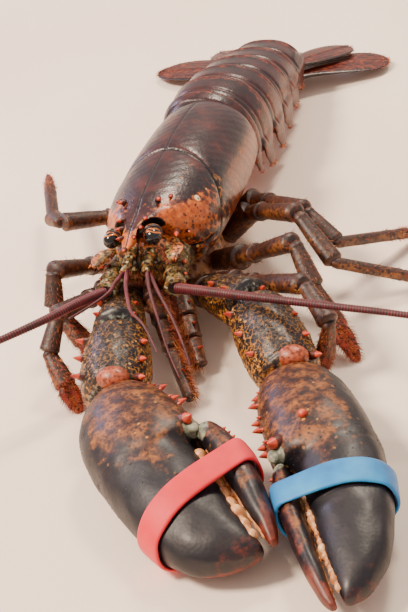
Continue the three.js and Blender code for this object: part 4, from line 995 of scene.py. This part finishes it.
# Tail.
tail = {
    "fringe": 2.0, "tuck": 1.3,  # how long the bristles are, and how much of that the blades are pulled in
    "start": 41, "lengths": [11, 20, 20, 22, 22, 22], "halfWidths": [21.5, 23, 24, 23.4, 22, 19.8],
    "tops": [55, 54.6, 52, 47.5, 42, 36], "lows": [15, 14, 13, 12, 11.5, 11],
    "tips": [13.5, 9, 8.5, 8.5, 8.5, 8.5], "drift": 3, "voxel": 0.5,
    "telson": [[3, 156.5, 23.4, 11, 7], [3, 166, 19, 12.6, 5], [2, 183, 11.5, 12.4, 3],
               [1.2, 195, 7, 10.8, 2],
               [1, 199.5, 5.8, 6.5, 1.3]],
    # root, bend and tip of each blade, with its half width and thickness
    "blades": {
        "uropod_inner_left": [[13, 160, 15.5], [25, 182, 13], [39, 202.5, 7], 10.5, 2.4],
        "uropod_outer_left": [[15, 160, 10], [37, 186, 7.5], [63, 190, 2.4], 13, 2.3],
        "uropod_inner_right": [[-7, 160, 15.5], [-20, 182, 13], [-37, 203, 7], 10.5, 2.4],
        "uropod_outer_right": [[-9, 160, 10], [-35, 187, 7.5], [-71, 189, 2.4], 13, 2.3],
    },
    "shares": [[0, 0.3], [0.14, 0.5], [0.36, 0.86], [0.62, 1], [0.84, 0.86], [0.96, 0.52], [1, 0.22]],
}


def tailSkew(points):
    share = (points[..., 1] - tail["start"]) / sum(tail["lengths"])
    lean = math.tan(math.radians(body["lean"])) * np.maximum(0, 1 - share)
    skewed = points.copy()
    skewed[..., 0] += tail["drift"] * share**2 + (points[..., 2] - 34) * lean
    return skewed


def archRings(rows, sides):
    angle = 2 * np.pi * np.arange(sides) / sides
    across, height = np.sin(angle), np.cos(angle)
    made = []
    for y, halfWidth, top, low in rows:
        middle = low + (top - low) * 0.42
        x = halfWidth * np.sign(across) * np.abs(across) ** 0.86
        z = middle + np.where(height > 0, (top - middle) * height, (low - middle) * np.abs(height) ** 0.62)
        made.append(np.stack([x, np.full(sides, y), z], -1))
    return made


def tailLeaf(side, width, middle, span, root, tip):
    rows = [[side * (width - 3.6), middle - 1, root + 5, 1.6, span * 0.34],
            [side * (width - 0.5), middle, root - 1, 1.6, span * 0.44],
            [side * (width - 1.1), middle + span * 0.1, (root + tip) / 2, 1.3, span * 0.36],
            [side * (width - 1.4), middle + span * 0.16, tip + 2.6, 1, span * 0.2],
            [side * (width - 2), middle + span * 0.26, tip, 0.6, span * 0.06]]
    return limb(rows, 28, 5, up=(0, 1, 0))


def swimmeret(side, middle, low):
    rows = [[side * 9, middle - 3, low + 2.5, 3.2, 1.3], [side * 12, middle + 1, low - 2, 4.4, 1],
            [side * 14, middle + 6, low - 5.6, 2.6, 0.6]]
    return limb(rows, 20, 5)


def makeTailRing(index):
    name = f"abdomen_{index + 1}"
    start = tail["start"] + sum(tail["lengths"][:index])
    to = start + tail["lengths"][index] - 0.3
    width, top, low, tip = (tail[key][index] for key in ("halfWidths", "tops", "lows", "tips"))
    nextTop = tail["tops"][index + 1] if index < 5 else top - 6
    nextWidth = tail["halfWidths"][index + 1] if index < 5 else width - 3
    span, middle, root = to - start, (start + to) / 2, low + 12
    rows = [[start + 0.2, width * 0.93, top - 2.2, low + 1.5],
            [start + span * 0.3, width * 0.985, top - 0.6, low + 0.4],
            [start + span * 0.75, (width + nextWidth) / 2 + 0.6, (top + nextTop) / 2 + 0.8, low],
            [to, (width + nextWidth) / 2, (top + nextTop) / 2 + 0.4, low + 0.3]]
    parts = [loft(archRings(smoothRows(rows, 7), 72))]
    for side in (1, -1):
        parts.append(tailLeaf(side, width, middle, span, root, tip))
        if 0 < index < 5:
            parts.append(swimmeret(side, middle, low))
    ring = melted(name, parts, tail["voxel"], 9)
    points, normals = coordinates(ring), outwards(ring)
    height, share = points[:, 2], (points[:, 1] - start) / span
    flank = rise(np.abs(points[:, 0]), width - 7, width - 1.5) * rise(height, root + 8, root - 2)
    upper = rise(height, low + 9, low + 14)
    bead = bell((share - 0.93) * span, 0, 1.1) * upper
    step = bell((share - 0.3) * span, 0, 0.9) * upper
    hollow = bell(share, 0.45, 0.22) * bell(height - root, 2, 3) * flank
    place(ring, points + normals * (0.3 * bead - 0.5 * step - 0.6 * hollow)[:, None])
    under = (height < low + 3) & (np.abs(points[:, 0]) < width - 6)
    rims = 0.75 * flank * rise(height, tip + 5, tip + 1) + 0.36 * rise(share, 0.92, 1.0) * upper
    paint(ring,
          rust=np.clip(0.75 * rise(height, top - 6, top - 20) + 0.55 * rise(share, 0.62, 0.9) * upper, 0, 1),
          edge=np.where(under, 0.9, rims),
          # dark here is painted shade at the ring's front, under the ring before, and in its groove
          dark=np.clip(0.85 * rise(share, 0.28, 0.1) * upper + 0.5 * step, 0, 1),
          grain=upper * (share > 0.3) * (share < 0.9),
          hair=flank * rise(height, tip + 3.5, tip + 1) + 1.0 * (height < low - 3))
    combed(ring, [0, 0.8, -0.6])
    place(ring, tailSkew(coordinates(ring)))
    finishedWith(bristles, name + "_fringe", ring, "tail_shell", [name], tailShell,
                 Density=1.6, Length=2.2, Radius=0.09, Seed=40 + index, Material=hairHorn)


def fanBlade(root, bend, tip, halfWidth, thickness):
    root, bend, tip = np.array(root, float), np.array(bend, float), np.array(tip, float)
    tip = tip - tail["tuck"] * tail["fringe"] * unit(tip - bend)
    rows = []
    for t, width in smoothRows(tail["shares"], 6):
        at = root * (1 - t) ** 2 + bend * 2 * t * (1 - t) + tip * t**2
        rows.append([*at, halfWidth * width, thickness * 0.7 * (1 - 0.6 * t)])
    return limb(rows, 64, 1, power=2.3)


def fanValues(part):
    values = part[2]
    along, across = values["along"], np.cos(2 * np.pi * values["around"])
    rim = np.maximum(rise(np.abs(across), 0.8, 0.97), rise(along, 0.88, 0.97))
    values["edge"] = 0.45 * bell(along, 0.8, 0.03)
    values["rust"] = 0.56 * (1 - rim) + 0.08
    values["dark"] = 0.66 * rim + 0.25 * rise(np.cos(across * 22), 0.2, 0.9)
    values["hair"] = rise(along, 0.86, 0.97) + 0.6 * rise(np.abs(across), 0.9, 1.0) * rise(along, 0.5, 0.8)
    values["comb"] = values["comb"] * 1.4
    return part


def makeFan():
    shapes = {"telson": limb(tail["telson"], 64, 10, power=2.6)}
    shapes.update({name: fanBlade(*rows) for name, rows in tail["blades"].items()})
    for index, (name, part) in enumerate(shapes.items()):
        piece = makePiece(name, fanValues(part))
        points, normals = coordinates(piece), outwards(piece)
        length, turn = painted(piece, "along"), 2 * np.pi * painted(piece, "around")
        across = np.cos(turn)
        ridge = bell(across, 0, 0.09) * 0.45 + 0.12 * np.cos(across * 22) * rise(length, 0.1, 0.3)
        seam = bell(length, 0.8, 0.012) * (0.45 if "outer" in name else 0)
        flat = np.abs(np.sin(turn)) * rise(length, 1, 0.93)
        place(piece, points + normals * ((ridge - seam) * flat)[:, None])
        finishedWith(bristles, name + "_fringe", piece, "tail_shell", [name], tailShell,
                     Density=3.2, Length=tail["fringe"], Radius=0.09, Seed=60 + index, Material=hairHorn)


for number in range(6):
    makeTailRing(number)
makeFan()
print("lobster: tail")


# Claws.
# Rows are [x, outer edge, inner edge, half thickness, height of the middle] as shares of the claw's length.
claws = {
    "crusher": {
        "length": 107, "wrist": (4.2, -136, 17), "towards": (74.2, -208.6), "tilt": 14, "flip": 1,
        "bandAt": 0.69, "bandLean": 8,
        "palm": [
            [0, -0.075, 0.07, 0.076, 0], [0.05, -0.15, 0.105, 0.105, 0.004],
            [0.13, -0.21, 0.13, 0.133, 0.008],
            [0.26, -0.25, 0.14, 0.147, 0.01], [0.39, -0.264, 0.135, 0.143, 0.008],
            [0.44, -0.268, 0.118, 0.137, 0.004], [0.47, -0.27, 0.075, 0.133, 0.002],
            [0.6, -0.273, 0.05, 0.122, -0.002], [0.74, -0.265, 0.03, 0.105, -0.008],
            [0.86, -0.235, 0.012, 0.084, -0.016], [0.93, -0.175, 0.004, 0.063, -0.026],
            [0.975, -0.1, 0, 0.038, -0.034], [0.99, -0.04, -0.008, 0.017, -0.038]],
        "finger": [
            [0.44, 0.1, 0.15, 0.059, 0.002], [0.48, 0.095, 0.18, 0.076, 0.002],
            [0.6, 0.075, 0.182, 0.08, -0.002],
            [0.73, 0.055, 0.158, 0.071, -0.008], [0.85, 0.036, 0.118, 0.057, -0.016],
            [0.94, 0.024, 0.08, 0.04, -0.024], [1, 0.016, 0.044, 0.017, -0.03]],
        "teeth": 9, "toothRadius": 0.026, "from": 0.53, "to": 0.93, "innerSpines": 4,
    },
    "pincer": {
        "length": 122, "wrist": (69.3, -118, 14.6), "towards": (105.3, -234.5), "tilt": 6, "flip": -1,
        "bandAt": 0.61, "bandLean": 3,
        "palm": [
            [0, -0.07, 0.07, 0.064, 0], [0.05, -0.115, 0.105, 0.088, 0.004],
            [0.15, -0.16, 0.122, 0.108, 0.008],
            [0.3, -0.195, 0.114, 0.116, 0.01], [0.42, -0.212, 0.104, 0.112, 0.006],
            [0.455, -0.216, 0.09, 0.106, 0.002], [0.48, -0.218, 0.042, 0.102, 0],
            [0.6, -0.217, 0.028, 0.088, -0.004],
            [0.74, -0.2, 0.014, 0.072, -0.01], [0.87, -0.165, 0, 0.054, -0.018],
            [0.955, -0.105, -0.012, 0.036, -0.028], [0.99, -0.05, -0.02, 0.016, -0.034]],
        "finger": [
            [0.46, 0.056, 0.092, 0.05, 0.002], [0.5, 0.052, 0.11, 0.061, 0.002],
            [0.62, 0.04, 0.105, 0.062, -0.002],
            [0.76, 0.025, 0.086, 0.054, -0.008], [0.88, 0.012, 0.063, 0.042, -0.016],
            [0.96, 0.003, 0.038, 0.027, -0.026], [1, -0.004, 0.016, 0.013, -0.032]],
        "teeth": 16, "toothRadius": 0.013, "from": 0.52, "to": 0.95, "innerSpines": 6,
    },
    "voxel": 0.55, "hingeAt": 0.43, "bandWidth": 11, "bandThickness": 1.3, "bandClearance": 0.7,
    # shares of the band's width and thickness round its section
    "bandProfile": [(-0.5, 0.35), (-0.47, 0.85), (-0.42, 1.0), (-0.25, 1.0), (0, 1.0), (0.25, 1.0),
                    (0.42, 1.0),
                    (0.47, 0.85), (0.5, 0.35), (0.47, 0.05), (0.25, 0), (0, 0), (-0.25, 0), (-0.47, 0.05)],
}


def clawRings(rows, length, sides, power):
    cosine, sine = (signedPower(wave, 2 / power) for wave in (np.cos(circle(sides)), np.sin(circle(sides))))
    made = []
    for x, outer, inner, thick, middle in rows:
        y = ((outer + inner) / 2 + cosine * (inner - outer) / 2) * length
        made.append(np.stack([np.full(sides, x * length), y, (middle + sine * thick) * length], -1))
    return made


def edgeAt(rows, x, column):
    rows = np.array(rows)
    return float(np.interp(x, rows[:, 0], rows[:, column]))


# The reach of a stretched band round the points near a plane: their convex outline, seen from its middle.
def bandReach(points, centre, normal, across, offset, turns):
    near = points[np.abs((points - centre) @ normal - offset) < 0.8]
    flat = np.stack([(near - centre) @ across, near[:, 2] - centre[2]], -1)
    angle = circle(180)
    aim = np.stack([np.cos(angle), np.sin(angle)], -1)
    middle = (flat.max(0) + flat.min(0)) / 2
    support = (flat @ aim.T).max(0) - (middle * aim).sum(1)
    facing = np.cos(circle(turns)[:, None] - angle[None, :])
    reach = np.where(facing > 0.05, support[None, :] / np.maximum(facing, 0.05), 1e9).min(1)
    return reach, middle


def rubberBand(name, points, look, turns=120):
    lean = math.radians(look["bandLean"])
    normal = np.array([math.cos(lean), math.sin(lean), 0])
    across = np.array([-math.sin(lean), math.cos(lean), 0])
    centre = np.array([look["bandAt"] * look["length"], 0, 0])
    loops = []
    for share, lift in claws["bandProfile"]:
        reach, middle = bandReach(points, centre, normal, across, share * claws["bandWidth"], turns)
        reach = reach + claws["bandClearance"] + claws["bandThickness"] * lift
        point = centre + normal * share * claws["bandWidth"]
        loops.append([point + across * (middle[0] + math.cos(a) * r) + [0, 0, middle[1] + math.sin(a) * r]
                      for a, r in zip(circle(turns), reach)])
    count = len(loops)
    faces = []
    for i in range(count):
        here, there = i * turns, (i + 1) % count * turns
        for k in range(turns):
            beside = (k + 1) % turns
            faces.append((here + k, here + beside, there + beside, there + k))
    return makePiece(name, (np.vstack(loops), faces, {}))


def carveClaw(piece, look, moving, hinge):
    points, normals = coordinates(piece), outwards(piece)
    length, rows = look["length"], np.array(look["finger" if moving else "palm"])
    x = points[:, 0] / length
    outer, inner = (np.interp(x, rows[:, 0], rows[:, i]) * length for i in (1, 2))
    across = (points[:, 1] - outer) / np.maximum(inner - outer, 1)
    lump = np.sin(points[:, 0] * 0.35 + 1.3) * np.sin(points[:, 1] * 0.42) * np.sin(points[:, 2] * 0.5 + 0.7)
    socket = 0 if moving else bell(x, 0.47, 0.02) * rise(across, 0.75, 0.95)
    keel = bell(across, 0.85 if moving else 0.08, 0.06) * rise(x, 0.05, 0.2)
    place(piece, points + normals * (0.22 * lump - 0.7 * socket + 0.15 * keel)[:, None])
    below = 0.8 * rise(points[:, 2], -0.03 * length, -0.09 * length)
    if moving:
        brown = 0.75 * bell(across, 0.5, 0.3) * rise(x, 0.9, 0.7)
        grey = np.zeros(len(x))
        rust = 0.75 * rise(x, 0.84, 0.99) + 0.4 * rise(across, 0.3, 0.7) + below
    else:
        brown = (0.72 * rise(x, 0.6, 0.3) * rise(across, 0.0, 0.3)
                 + 0.5 * bell(across, 0.62, 0.14) * rise(x, 0.25, 0.45) * rise(x, 0.72, 0.5))
        # grey is a painted sheen along the palm's outer edge, over its nearer half
        grey = 0.45 * rise(across, 0.14, 0.04) * rise(x, 0.55, 0.3)
        rust = 0.4 * rise(x, 0.84, 0.99) + below
    fromHinge = np.linalg.norm((points - hinge) / [6.5, 4.2, 5], axis=1)
    paint(piece, brown=brown, grey=grey, rust=np.clip(rust, 0, 1), hinge=0.8 * rise(fromHinge, 1.3, 0.8),
          grain=rise(x, 0.9, 0.2) * 0.8)


# Rounded molars on the crusher, a saw of small points on the pincer, each row on a low ridge.
def clawTeeth(kind):
    look = claws[kind]
    length, radius = look["length"], look["toothRadius"]
    parts = []
    for name, column, sink, lift in (("palm", 2, -0.5, 0.012), ("finger", 1, 0.6, 0)):
        rows = [[x * length, (edgeAt(look[name], x, column) + sink * radius) * length,
                 (edgeAt(look[name], x, 4) + lift) * length, 0.75 * radius * length, 0.9 * radius * length]
                for x in np.linspace(look["from"] - 0.02, look["to"] + 0.01, 9)]
        parts.append(limb(rows, 16, 3))
    for number in range(look["teeth"]):
        t = number / (look["teeth"] - 1)
        size = radius * length * (1 - 0.35 * t) * (1.35 if number % 4 == 2 else 0.95)
        x = look["from"] + (look["to"] - look["from"]) * t
        edge, level = edgeAt(look["palm"], x, 2), edgeAt(look["palm"], x, 4)
        parts.append(knob((x * length, (edge - radius * 0.15) * length, (level + 0.018) * length),
                          (size * 1.25, size, size * 1.25)))
        facing = min(x + 0.02, 0.98)
        edge, level = edgeAt(look["finger"], facing, 1), edgeAt(look["finger"], facing, 4)
        parts.append(knob(((x + 0.02) * length, (edge + radius * 0.25) * length, level * length),
                          (size, size * 0.8, size * 0.85)))
    return melted(kind + "_teeth", parts, 0.4, 5)


def clawSpines(kind):
    look = claws[kind]
    length, palm = look["length"], look["palm"]
    parts = []
    for number in range(look["innerSpines"]):
        x = 0.07 + 0.062 * number
        inner, level = edgeAt(palm, x, 2), 0.012 + 0.02 * (number % 2)
        parts.append(spine((x * length, (inner - 0.004) * length, level * length), (0.45, 1, 0.25), 2, 6, 12))
        beside = (x + 0.03) * length, (inner - 0.012) * length, 0.05 * length
        parts.append(spine(beside, (0.4, 0.9, 0.6), 1.2, 3.4, 10))
    knuckle = edgeAt(palm, 0.41, 2) - 0.03
    parts.append(spine((0.41 * length, knuckle * length, 0.085 * length), (0.6, 0.5, 0.6), 3.2, 7, 16))
    parts.append(knob((0.36 * length, (edgeAt(palm, 0.36, 2) - 0.13) * length, 0.128 * length),
                      (1.7, 1.7, 1.5)))
    for number in range(3):  # along the finger's outer edge
        x = 0.5 + 0.03 * number
        edge = edgeAt(look["finger"], x, 2) - 0.012
        parts.append(spine((x * length, edge * length, 0.03 * length), (0.4, 1, 0.4), 1.3, 3.6, 10))
    return makePiece(kind + "_spines", join(*parts))


def makeClaw(kind, bandMaterial):
    look = claws[kind]
    length, wrist, towards = look["length"], look["wrist"], look["towards"]
    heading = math.atan2(towards[1] - wrist[1], towards[0] - wrist[0])
    whole = (Matrix.Translation(wrist) @ Matrix.Rotation(heading, 4, "Z")
             @ Matrix.Rotation(math.radians(look["tilt"]), 4, "X") @ Matrix.Diagonal((1, look["flip"], 1, 1)))
    hingeY = edgeAt(look["palm"], claws["hingeAt"], 2) * length
    bosses = [knob((0.44 * length, hingeY - 1.2, side * 0.06 * length + 0.2), (3.8, 2.2, 2.2))
              for side in (1, -1)]
    hand = loft(clawRings(smoothRows(look["palm"], 7), length, 84, 2.15))
    thumb = loft(clawRings(smoothRows(look["finger"], 7), length, 60, 2.1))
    palm = melted(kind + "_palm", [hand, *bosses], claws["voxel"], 16)
    finger = melted(kind + "_finger", [thumb], claws["voxel"] * 0.85, 10)
    hinge = [0.45 * length, hingeY - 1, 0.07 * length]
    carveClaw(palm, look, False, hinge)
    carveClaw(finger, look, True, hinge)
    band = rubberBand(kind + "_band", np.vstack([coordinates(palm), coordinates(finger)]), look)
    teeth, spikes = clawTeeth(kind), clawSpines(kind)
    for piece in (palm, finger, band, teeth, spikes):
        piece.data.transform(whole)
        if look["flip"] < 0:
            piece.data.flip_normals()
    for piece, node in ((palm, kind + "_palm"), (finger, kind + "_finger")):
        finishedWith(grains, node + "_grains", piece, "claw_shell", [node], clawShell,
                     Density=0.05, Radius=0.5, Height=0.16, Seed=71, Material=clawShell)
    finished(teeth, (), toothEnamel)
    finished(spikes, (), coralTips)
    finished(band, [kind + "_band"], bandMaterial)


makeClaw("crusher", coralRubber)
makeClaw("pincer", blueRubber)
print("lobster: claws")


# Arms: root, elbow, knuckle and wrist. Shapes are (share of the length, half width, half height).
arms = {
    "right": [(-10, -50, 11), (-12, -65, 16), (-3, -102, 23.5), claws["crusher"]["wrist"]],
    "left": [(11, -50, 11), (23, -60, 17), (48.5, -84, 25), claws["pincer"]["wrist"]],
    "voxel": 0.5,
    "arm": [(-0.03, 5.6, 6), (0.04, 6.8, 7.2), (0.15, 7.7, 8.3), (0.6, 9.7, 10.7), (0.88, 10.8, 11.6),
            (0.96, 9.8, 10.6), (1.0, 7.2, 8)],
    "hand": [(0.0, 8, 8.6), (0.06, 10.8, 11.2), (0.14, 12.2, 12.6), (0.5, 13.8, 14.6), (0.85, 13.2, 13.8),
             (0.96, 11.4, 12.2), (1.0, 8.5, 9.4)],
}


def armPiece(node, a, b, shape):
    piece = melted(node, [limb([[*between(a, b, t), w, h] for t, w, h in shape], 56, 8)], arms["voxel"], 8)
    points, normals = coordinates(piece), outwards(piece)
    share = (points - a) @ unit(b - a) / np.linalg.norm(b - a)
    lump = np.sin(points[:, 0] * 0.7) * np.sin(points[:, 1] * 0.6 + 1) * np.sin(points[:, 2] * 0.8)
    collar = bell(share, 0.94, 0.03) - bell(share, 0.9, 0.02)
    place(piece, points + normals * (0.25 * lump + 0.3 * collar)[:, None])
    up = normals[:, 2]
    paint(piece,
          rust=0.14 + 0.36 * rise(up, 0.8, 0.0),
          # pale is the real joint skin at the ends, plus a painted highlight where the surface faces up
          pale=0.5 * np.maximum(rise(share, 0.95, 1.0), rise(share, 0.05, 0.0)) + 0.12 * rise(up, 0.4, 0.9),
          net=(0.35 + 0.65 * rise(up, 0.95, 0.5)) * rise(share, 0.02, 0.1) * rise(share, 0.97, 0.88),
          grain=rise(up, -0.3, 0.3) * (share > 0.1) * (share < 0.9))
    finishedWith(grains, node + "_grains", piece, "claw_shell", [node], armShell,
                 Density=0.16, Radius=0.5, Height=0.3, Seed=81, Material=armShell)


def makeArm(side):
    root, elbow, knuckle, wrist = (np.array(point, float) for point in arms[side])
    hinge = makePiece("claw_arm_root_" + side, segment(root, between(root, elbow, 0.98), 6.5, 7.6, 40))
    finished(hinge, ["claw_arm_root_" + side], legShell)
    armPiece("claw_arm_" + side, elbow, knuckle, arms["arm"])
    armPiece("claw_knuckle_" + side, knuckle, wrist, arms["hand"])
    coral = []
    for t in (0.55, 0.86):
        x, y, z = between(elbow, knuckle, t)
        coral += [spine((x + way * 7, y, z + 7.4), (way * 0.6, -0.7, 0.9), 1.7, 5.6, 14) for way in (1, -1)]
    for t in (0.3, 0.6, 0.9):
        x, y, z = between(knuckle, wrist, t)
        coral += [spine((x + way * 11.4, y - 1, z + 6 + 3 * t), (way, -0.6, 0.6), 1.9, 6.6, 14)
                  for way in (1, -1)]
    boss = knob((wrist[0] + 1, wrist[1] + 0.5, wrist[2] + 10.4), (6.6, 4.9, 4.4), 40, 24)
    coral.append(withValues(boss, freckle=0.7, knob=0.7))
    finished(makePiece("armSpines_" + side, join(*coral)), (), coralTips)


makeArm("right")
makeArm("left")
print("lobster: arms")


# Legs, mouth legs and breast plate.
legs = {
    # root, hip, knee, wrist and tip, and the kind of foot
    "leg_2_left": [(15, -42, 9), (33, -53, 17), (69.5, -82, 34.5), (81.5, -98.5, 27), (75, -95, 0), "pincer"],
    "leg_3_left": [(15.5, -22, 9), (32, -36, 19), (60.5, -55, 37.5), (69.8, -68, 24),
                   (87.5, -85, 0), "pincer"],
    "leg_4_left": [(15.5, -3, 9), (28, 0, 21), (56.5, -29, 36), (74, -45.5, 21.5), (118, -29, 0), "point"],
    "leg_5_left": [(14, 15, 9), (28, 12, 20), (57.5, -19.5, 32), (72, -29.5, 21.5), (104, 16, 0), "point"],
    "leg_2_right": [(-15, -42, 9), (-26, -57, 15), (-30, -95, 29), (-33, -105, 17.5),
                    (-18.5, -121, 0), "pincer"],
    "leg_3_right": [(-15.5, -22, 9), (-30, -37, 17), (-39, -70, 34.5), (-39, -77.5, 21),
                    (-15.5, -91.5, 0), "pincer"],
    "leg_4_right": [(-15.5, -3, 9), (-31, 0, 20), (-53, -20, 28.5), (-62, -8, 24),
                    (-81.5, 40.5, 20), "point"],
    "leg_5_right": [(-14, 15, 9), (-26, 20, 14), (-34, 42, 20), (-38, 56, 15), (-46, 92, 0), "point"],
}
feet = {
    # where the foot's tips begin, its end's radius, how red and hairy it gets,
    # each tip's spread and radius, and the bristles
    "pincer": {"from": 0.58, "end": 4.4, "red": (0.2, 0.3), "hair": 0.35, "tips": ((1.9, 2.3), (-1.9, 2.1)),
               "tipRed": 0.5, "tipHair": 1.0, "density": 2.2, "length": 2.6},
    "point": {"from": 0.6, "end": 3, "red": (0.12, 0.2), "hair": 0.12, "tips": ((0, 2.7),),
              "tipRed": 0.3, "tipHair": 0.5, "density": 1.4, "length": 2.0},
}
tipShape = [(-0.22, 0.6, 0.9), (0.05, 0.9, 1), (0.25, 1, 1), (0.7, 0.8, 0.7),
            (0.92, 0.5, 0.42), (1.0, 0.35, 0.2)]
mouthLegs = {
    1: [(6, -56, 20), (13, -66, 18.5), (17.5, -76, 15), (21.5, -85.5, 11), (26.5, -96, 5)],
    -1: [(-3, -56, 20), (2.8, -70.6, 20), (9, -83, 17.5), (15.5, -96, 13), (27.5, -118, 4.5)],
    "radii": [3.6, 4.3, 3.9, 3.3, 2.4],
}


def dressLeg(part, red, hair, comb=1.2):
    points, faces, values = part
    values["red"] = np.zeros(len(points)) + red
    values["hair"] = np.zeros(len(points)) + hair
    values["comb"] = values["comb"] * comb
    values["top"] = 0.5 * rise(np.sin(2 * np.pi * values["around"]), 0.2, 0.8) + 0.1
    return part


def makeLeg(name, path):
    root, hip, knee, wrist, tip = (np.array(point, float) for point in path[:5])
    look = feet[path[5]]
    upper = [segment(root, between(root, hip, 1.05), 5.2, 5.9, 28, 0.92),
             segment(between(root, hip, 0.88), between(hip, knee, 0.3), 4.4, 4.8, 28),
             segment(between(hip, knee, 0.24), knee, 4.2, 4.8, 28)]
    top = makePiece(name + "_upper", join(*[dressLeg(part, 0.05, 0.03) for part in upper]))
    beyond = between(wrist, tip, look["from"])
    foot = segment(between(wrist, tip, -0.04), beyond, 3.2, look["end"], 28, 0.8)
    share, (redRoot, redMore) = foot[2]["along"], look["red"]
    lower = [dressLeg(segment(between(knee, wrist, 0.02), wrist, 3.5, 4.3, 28), 0.12, 0.05),
             dressLeg(foot, redRoot + redMore * share, look["hair"] * rise(share, 0.2, 0.7))]
    along = unit(tip - wrist)
    aside = unit(np.array([-along[1], along[0], 0]))
    for spread, radius in look["tips"]:
        rows = []
        for t, away, size in tipShape:
            at = between(beyond, tip, t) + aside * spread * away
            rows.append([*at, radius * size, radius * size * 0.88])
        finger = limb(rows, 22, 4)
        reach = finger[2]["along"]
        hair = look["tipHair"] * rise(reach, 0.1, 0.3)
        lower.append(dressLeg(finger, look["tipRed"] + 0.3 * reach, hair, 0.8))
    low = makePiece(name + "_lower", join(*lower))
    for piece, node in ((top, name + "_upper"), (low, name + "_lower")):
        finishedWith(bristles, node + "_bristles", piece, "leg_shell", [node], legShell,
                     Density=look["density"], Length=look["length"], Radius=0.11, Seed=91, Material=hairHorn)


def makeMouthLeg(side):
    name = sideName(side)
    path, radii = [np.array(p, float) for p in mouthLegs[side]], mouthLegs["radii"]
    blocks = []
    for number in range(4):
        block = segment(path[number], path[number + 1], radii[number], radii[number + 1] * 1.12, 28)
        values, angle = block[2], 2 * np.pi * block[2]["around"]
        values["hair"] = (rise(np.cos(angle) * side, 0.2, 0.8) * rise(values["along"], 0.05, 0.2)
                          * (1 if number else 0.3))
        values["comb"] = values["comb"] * 0.9 + [0, 0, -0.3]
        values["red"] = np.full(len(block[0]), 0.15 + 0.05 * number)
        values["top"] = 0.5 * rise(np.sin(angle), 0.3, 0.9)
        blocks.append(block)
    for a, b in zip(path[1:-1], path[2:]):
        thorn = spine(between(a, b, 0.5) + [1.2, 0, 2.2], (0.9, -0.5, 0.7), 0.9, 5.5, 10)
        blocks.append(withValues(thorn, red=1))
    piece = makePiece("mouth_leg_" + name, join(*blocks))
    finishedWith(bristles, "mouthBristles_" + name, piece, "leg_shell", ["mouth_leg_" + name], legShell,
                 Density=2.4, Length=4.2, Radius=0.12, Seed=95, Material=hairHorn)


breast = {"rows": [[0, 37, 8, 9, 7.5], [0, 32, 8.5, 13, 9], [0, 10, 8.2, 16, 9.2], [0, -25, 8.2, 15.5, 9.2],
                   [0, -46, 8.4, 13.5, 9.2], [0, -54, 9, 10, 7.5]]}


def makeBreastPlate():
    plate = makePiece("sternum", limb(breast["rows"], 72, 12, power=3.2))
    points, normals = coordinates(plate), outwards(plate)
    seam = bell(np.mod(points[:, 1] + 52, 19), 9.5, 1.0) * rise(np.abs(points[:, 0]), 2, 5)
    keel = bell(points[:, 0], 0, 1.2)
    place(plate, points - normals * (0.5 * seam + 0.35 * keel)[:, None])
    finished(plate, ["sternum"], bellyShell)


for legName, legRows in legs.items():
    makeLeg(legName, legRows)
makeMouthLeg(1)
makeMouthLeg(-1)
makeBreastPlate()
print("lobster: legs and breast plate")

print("lobster: done")
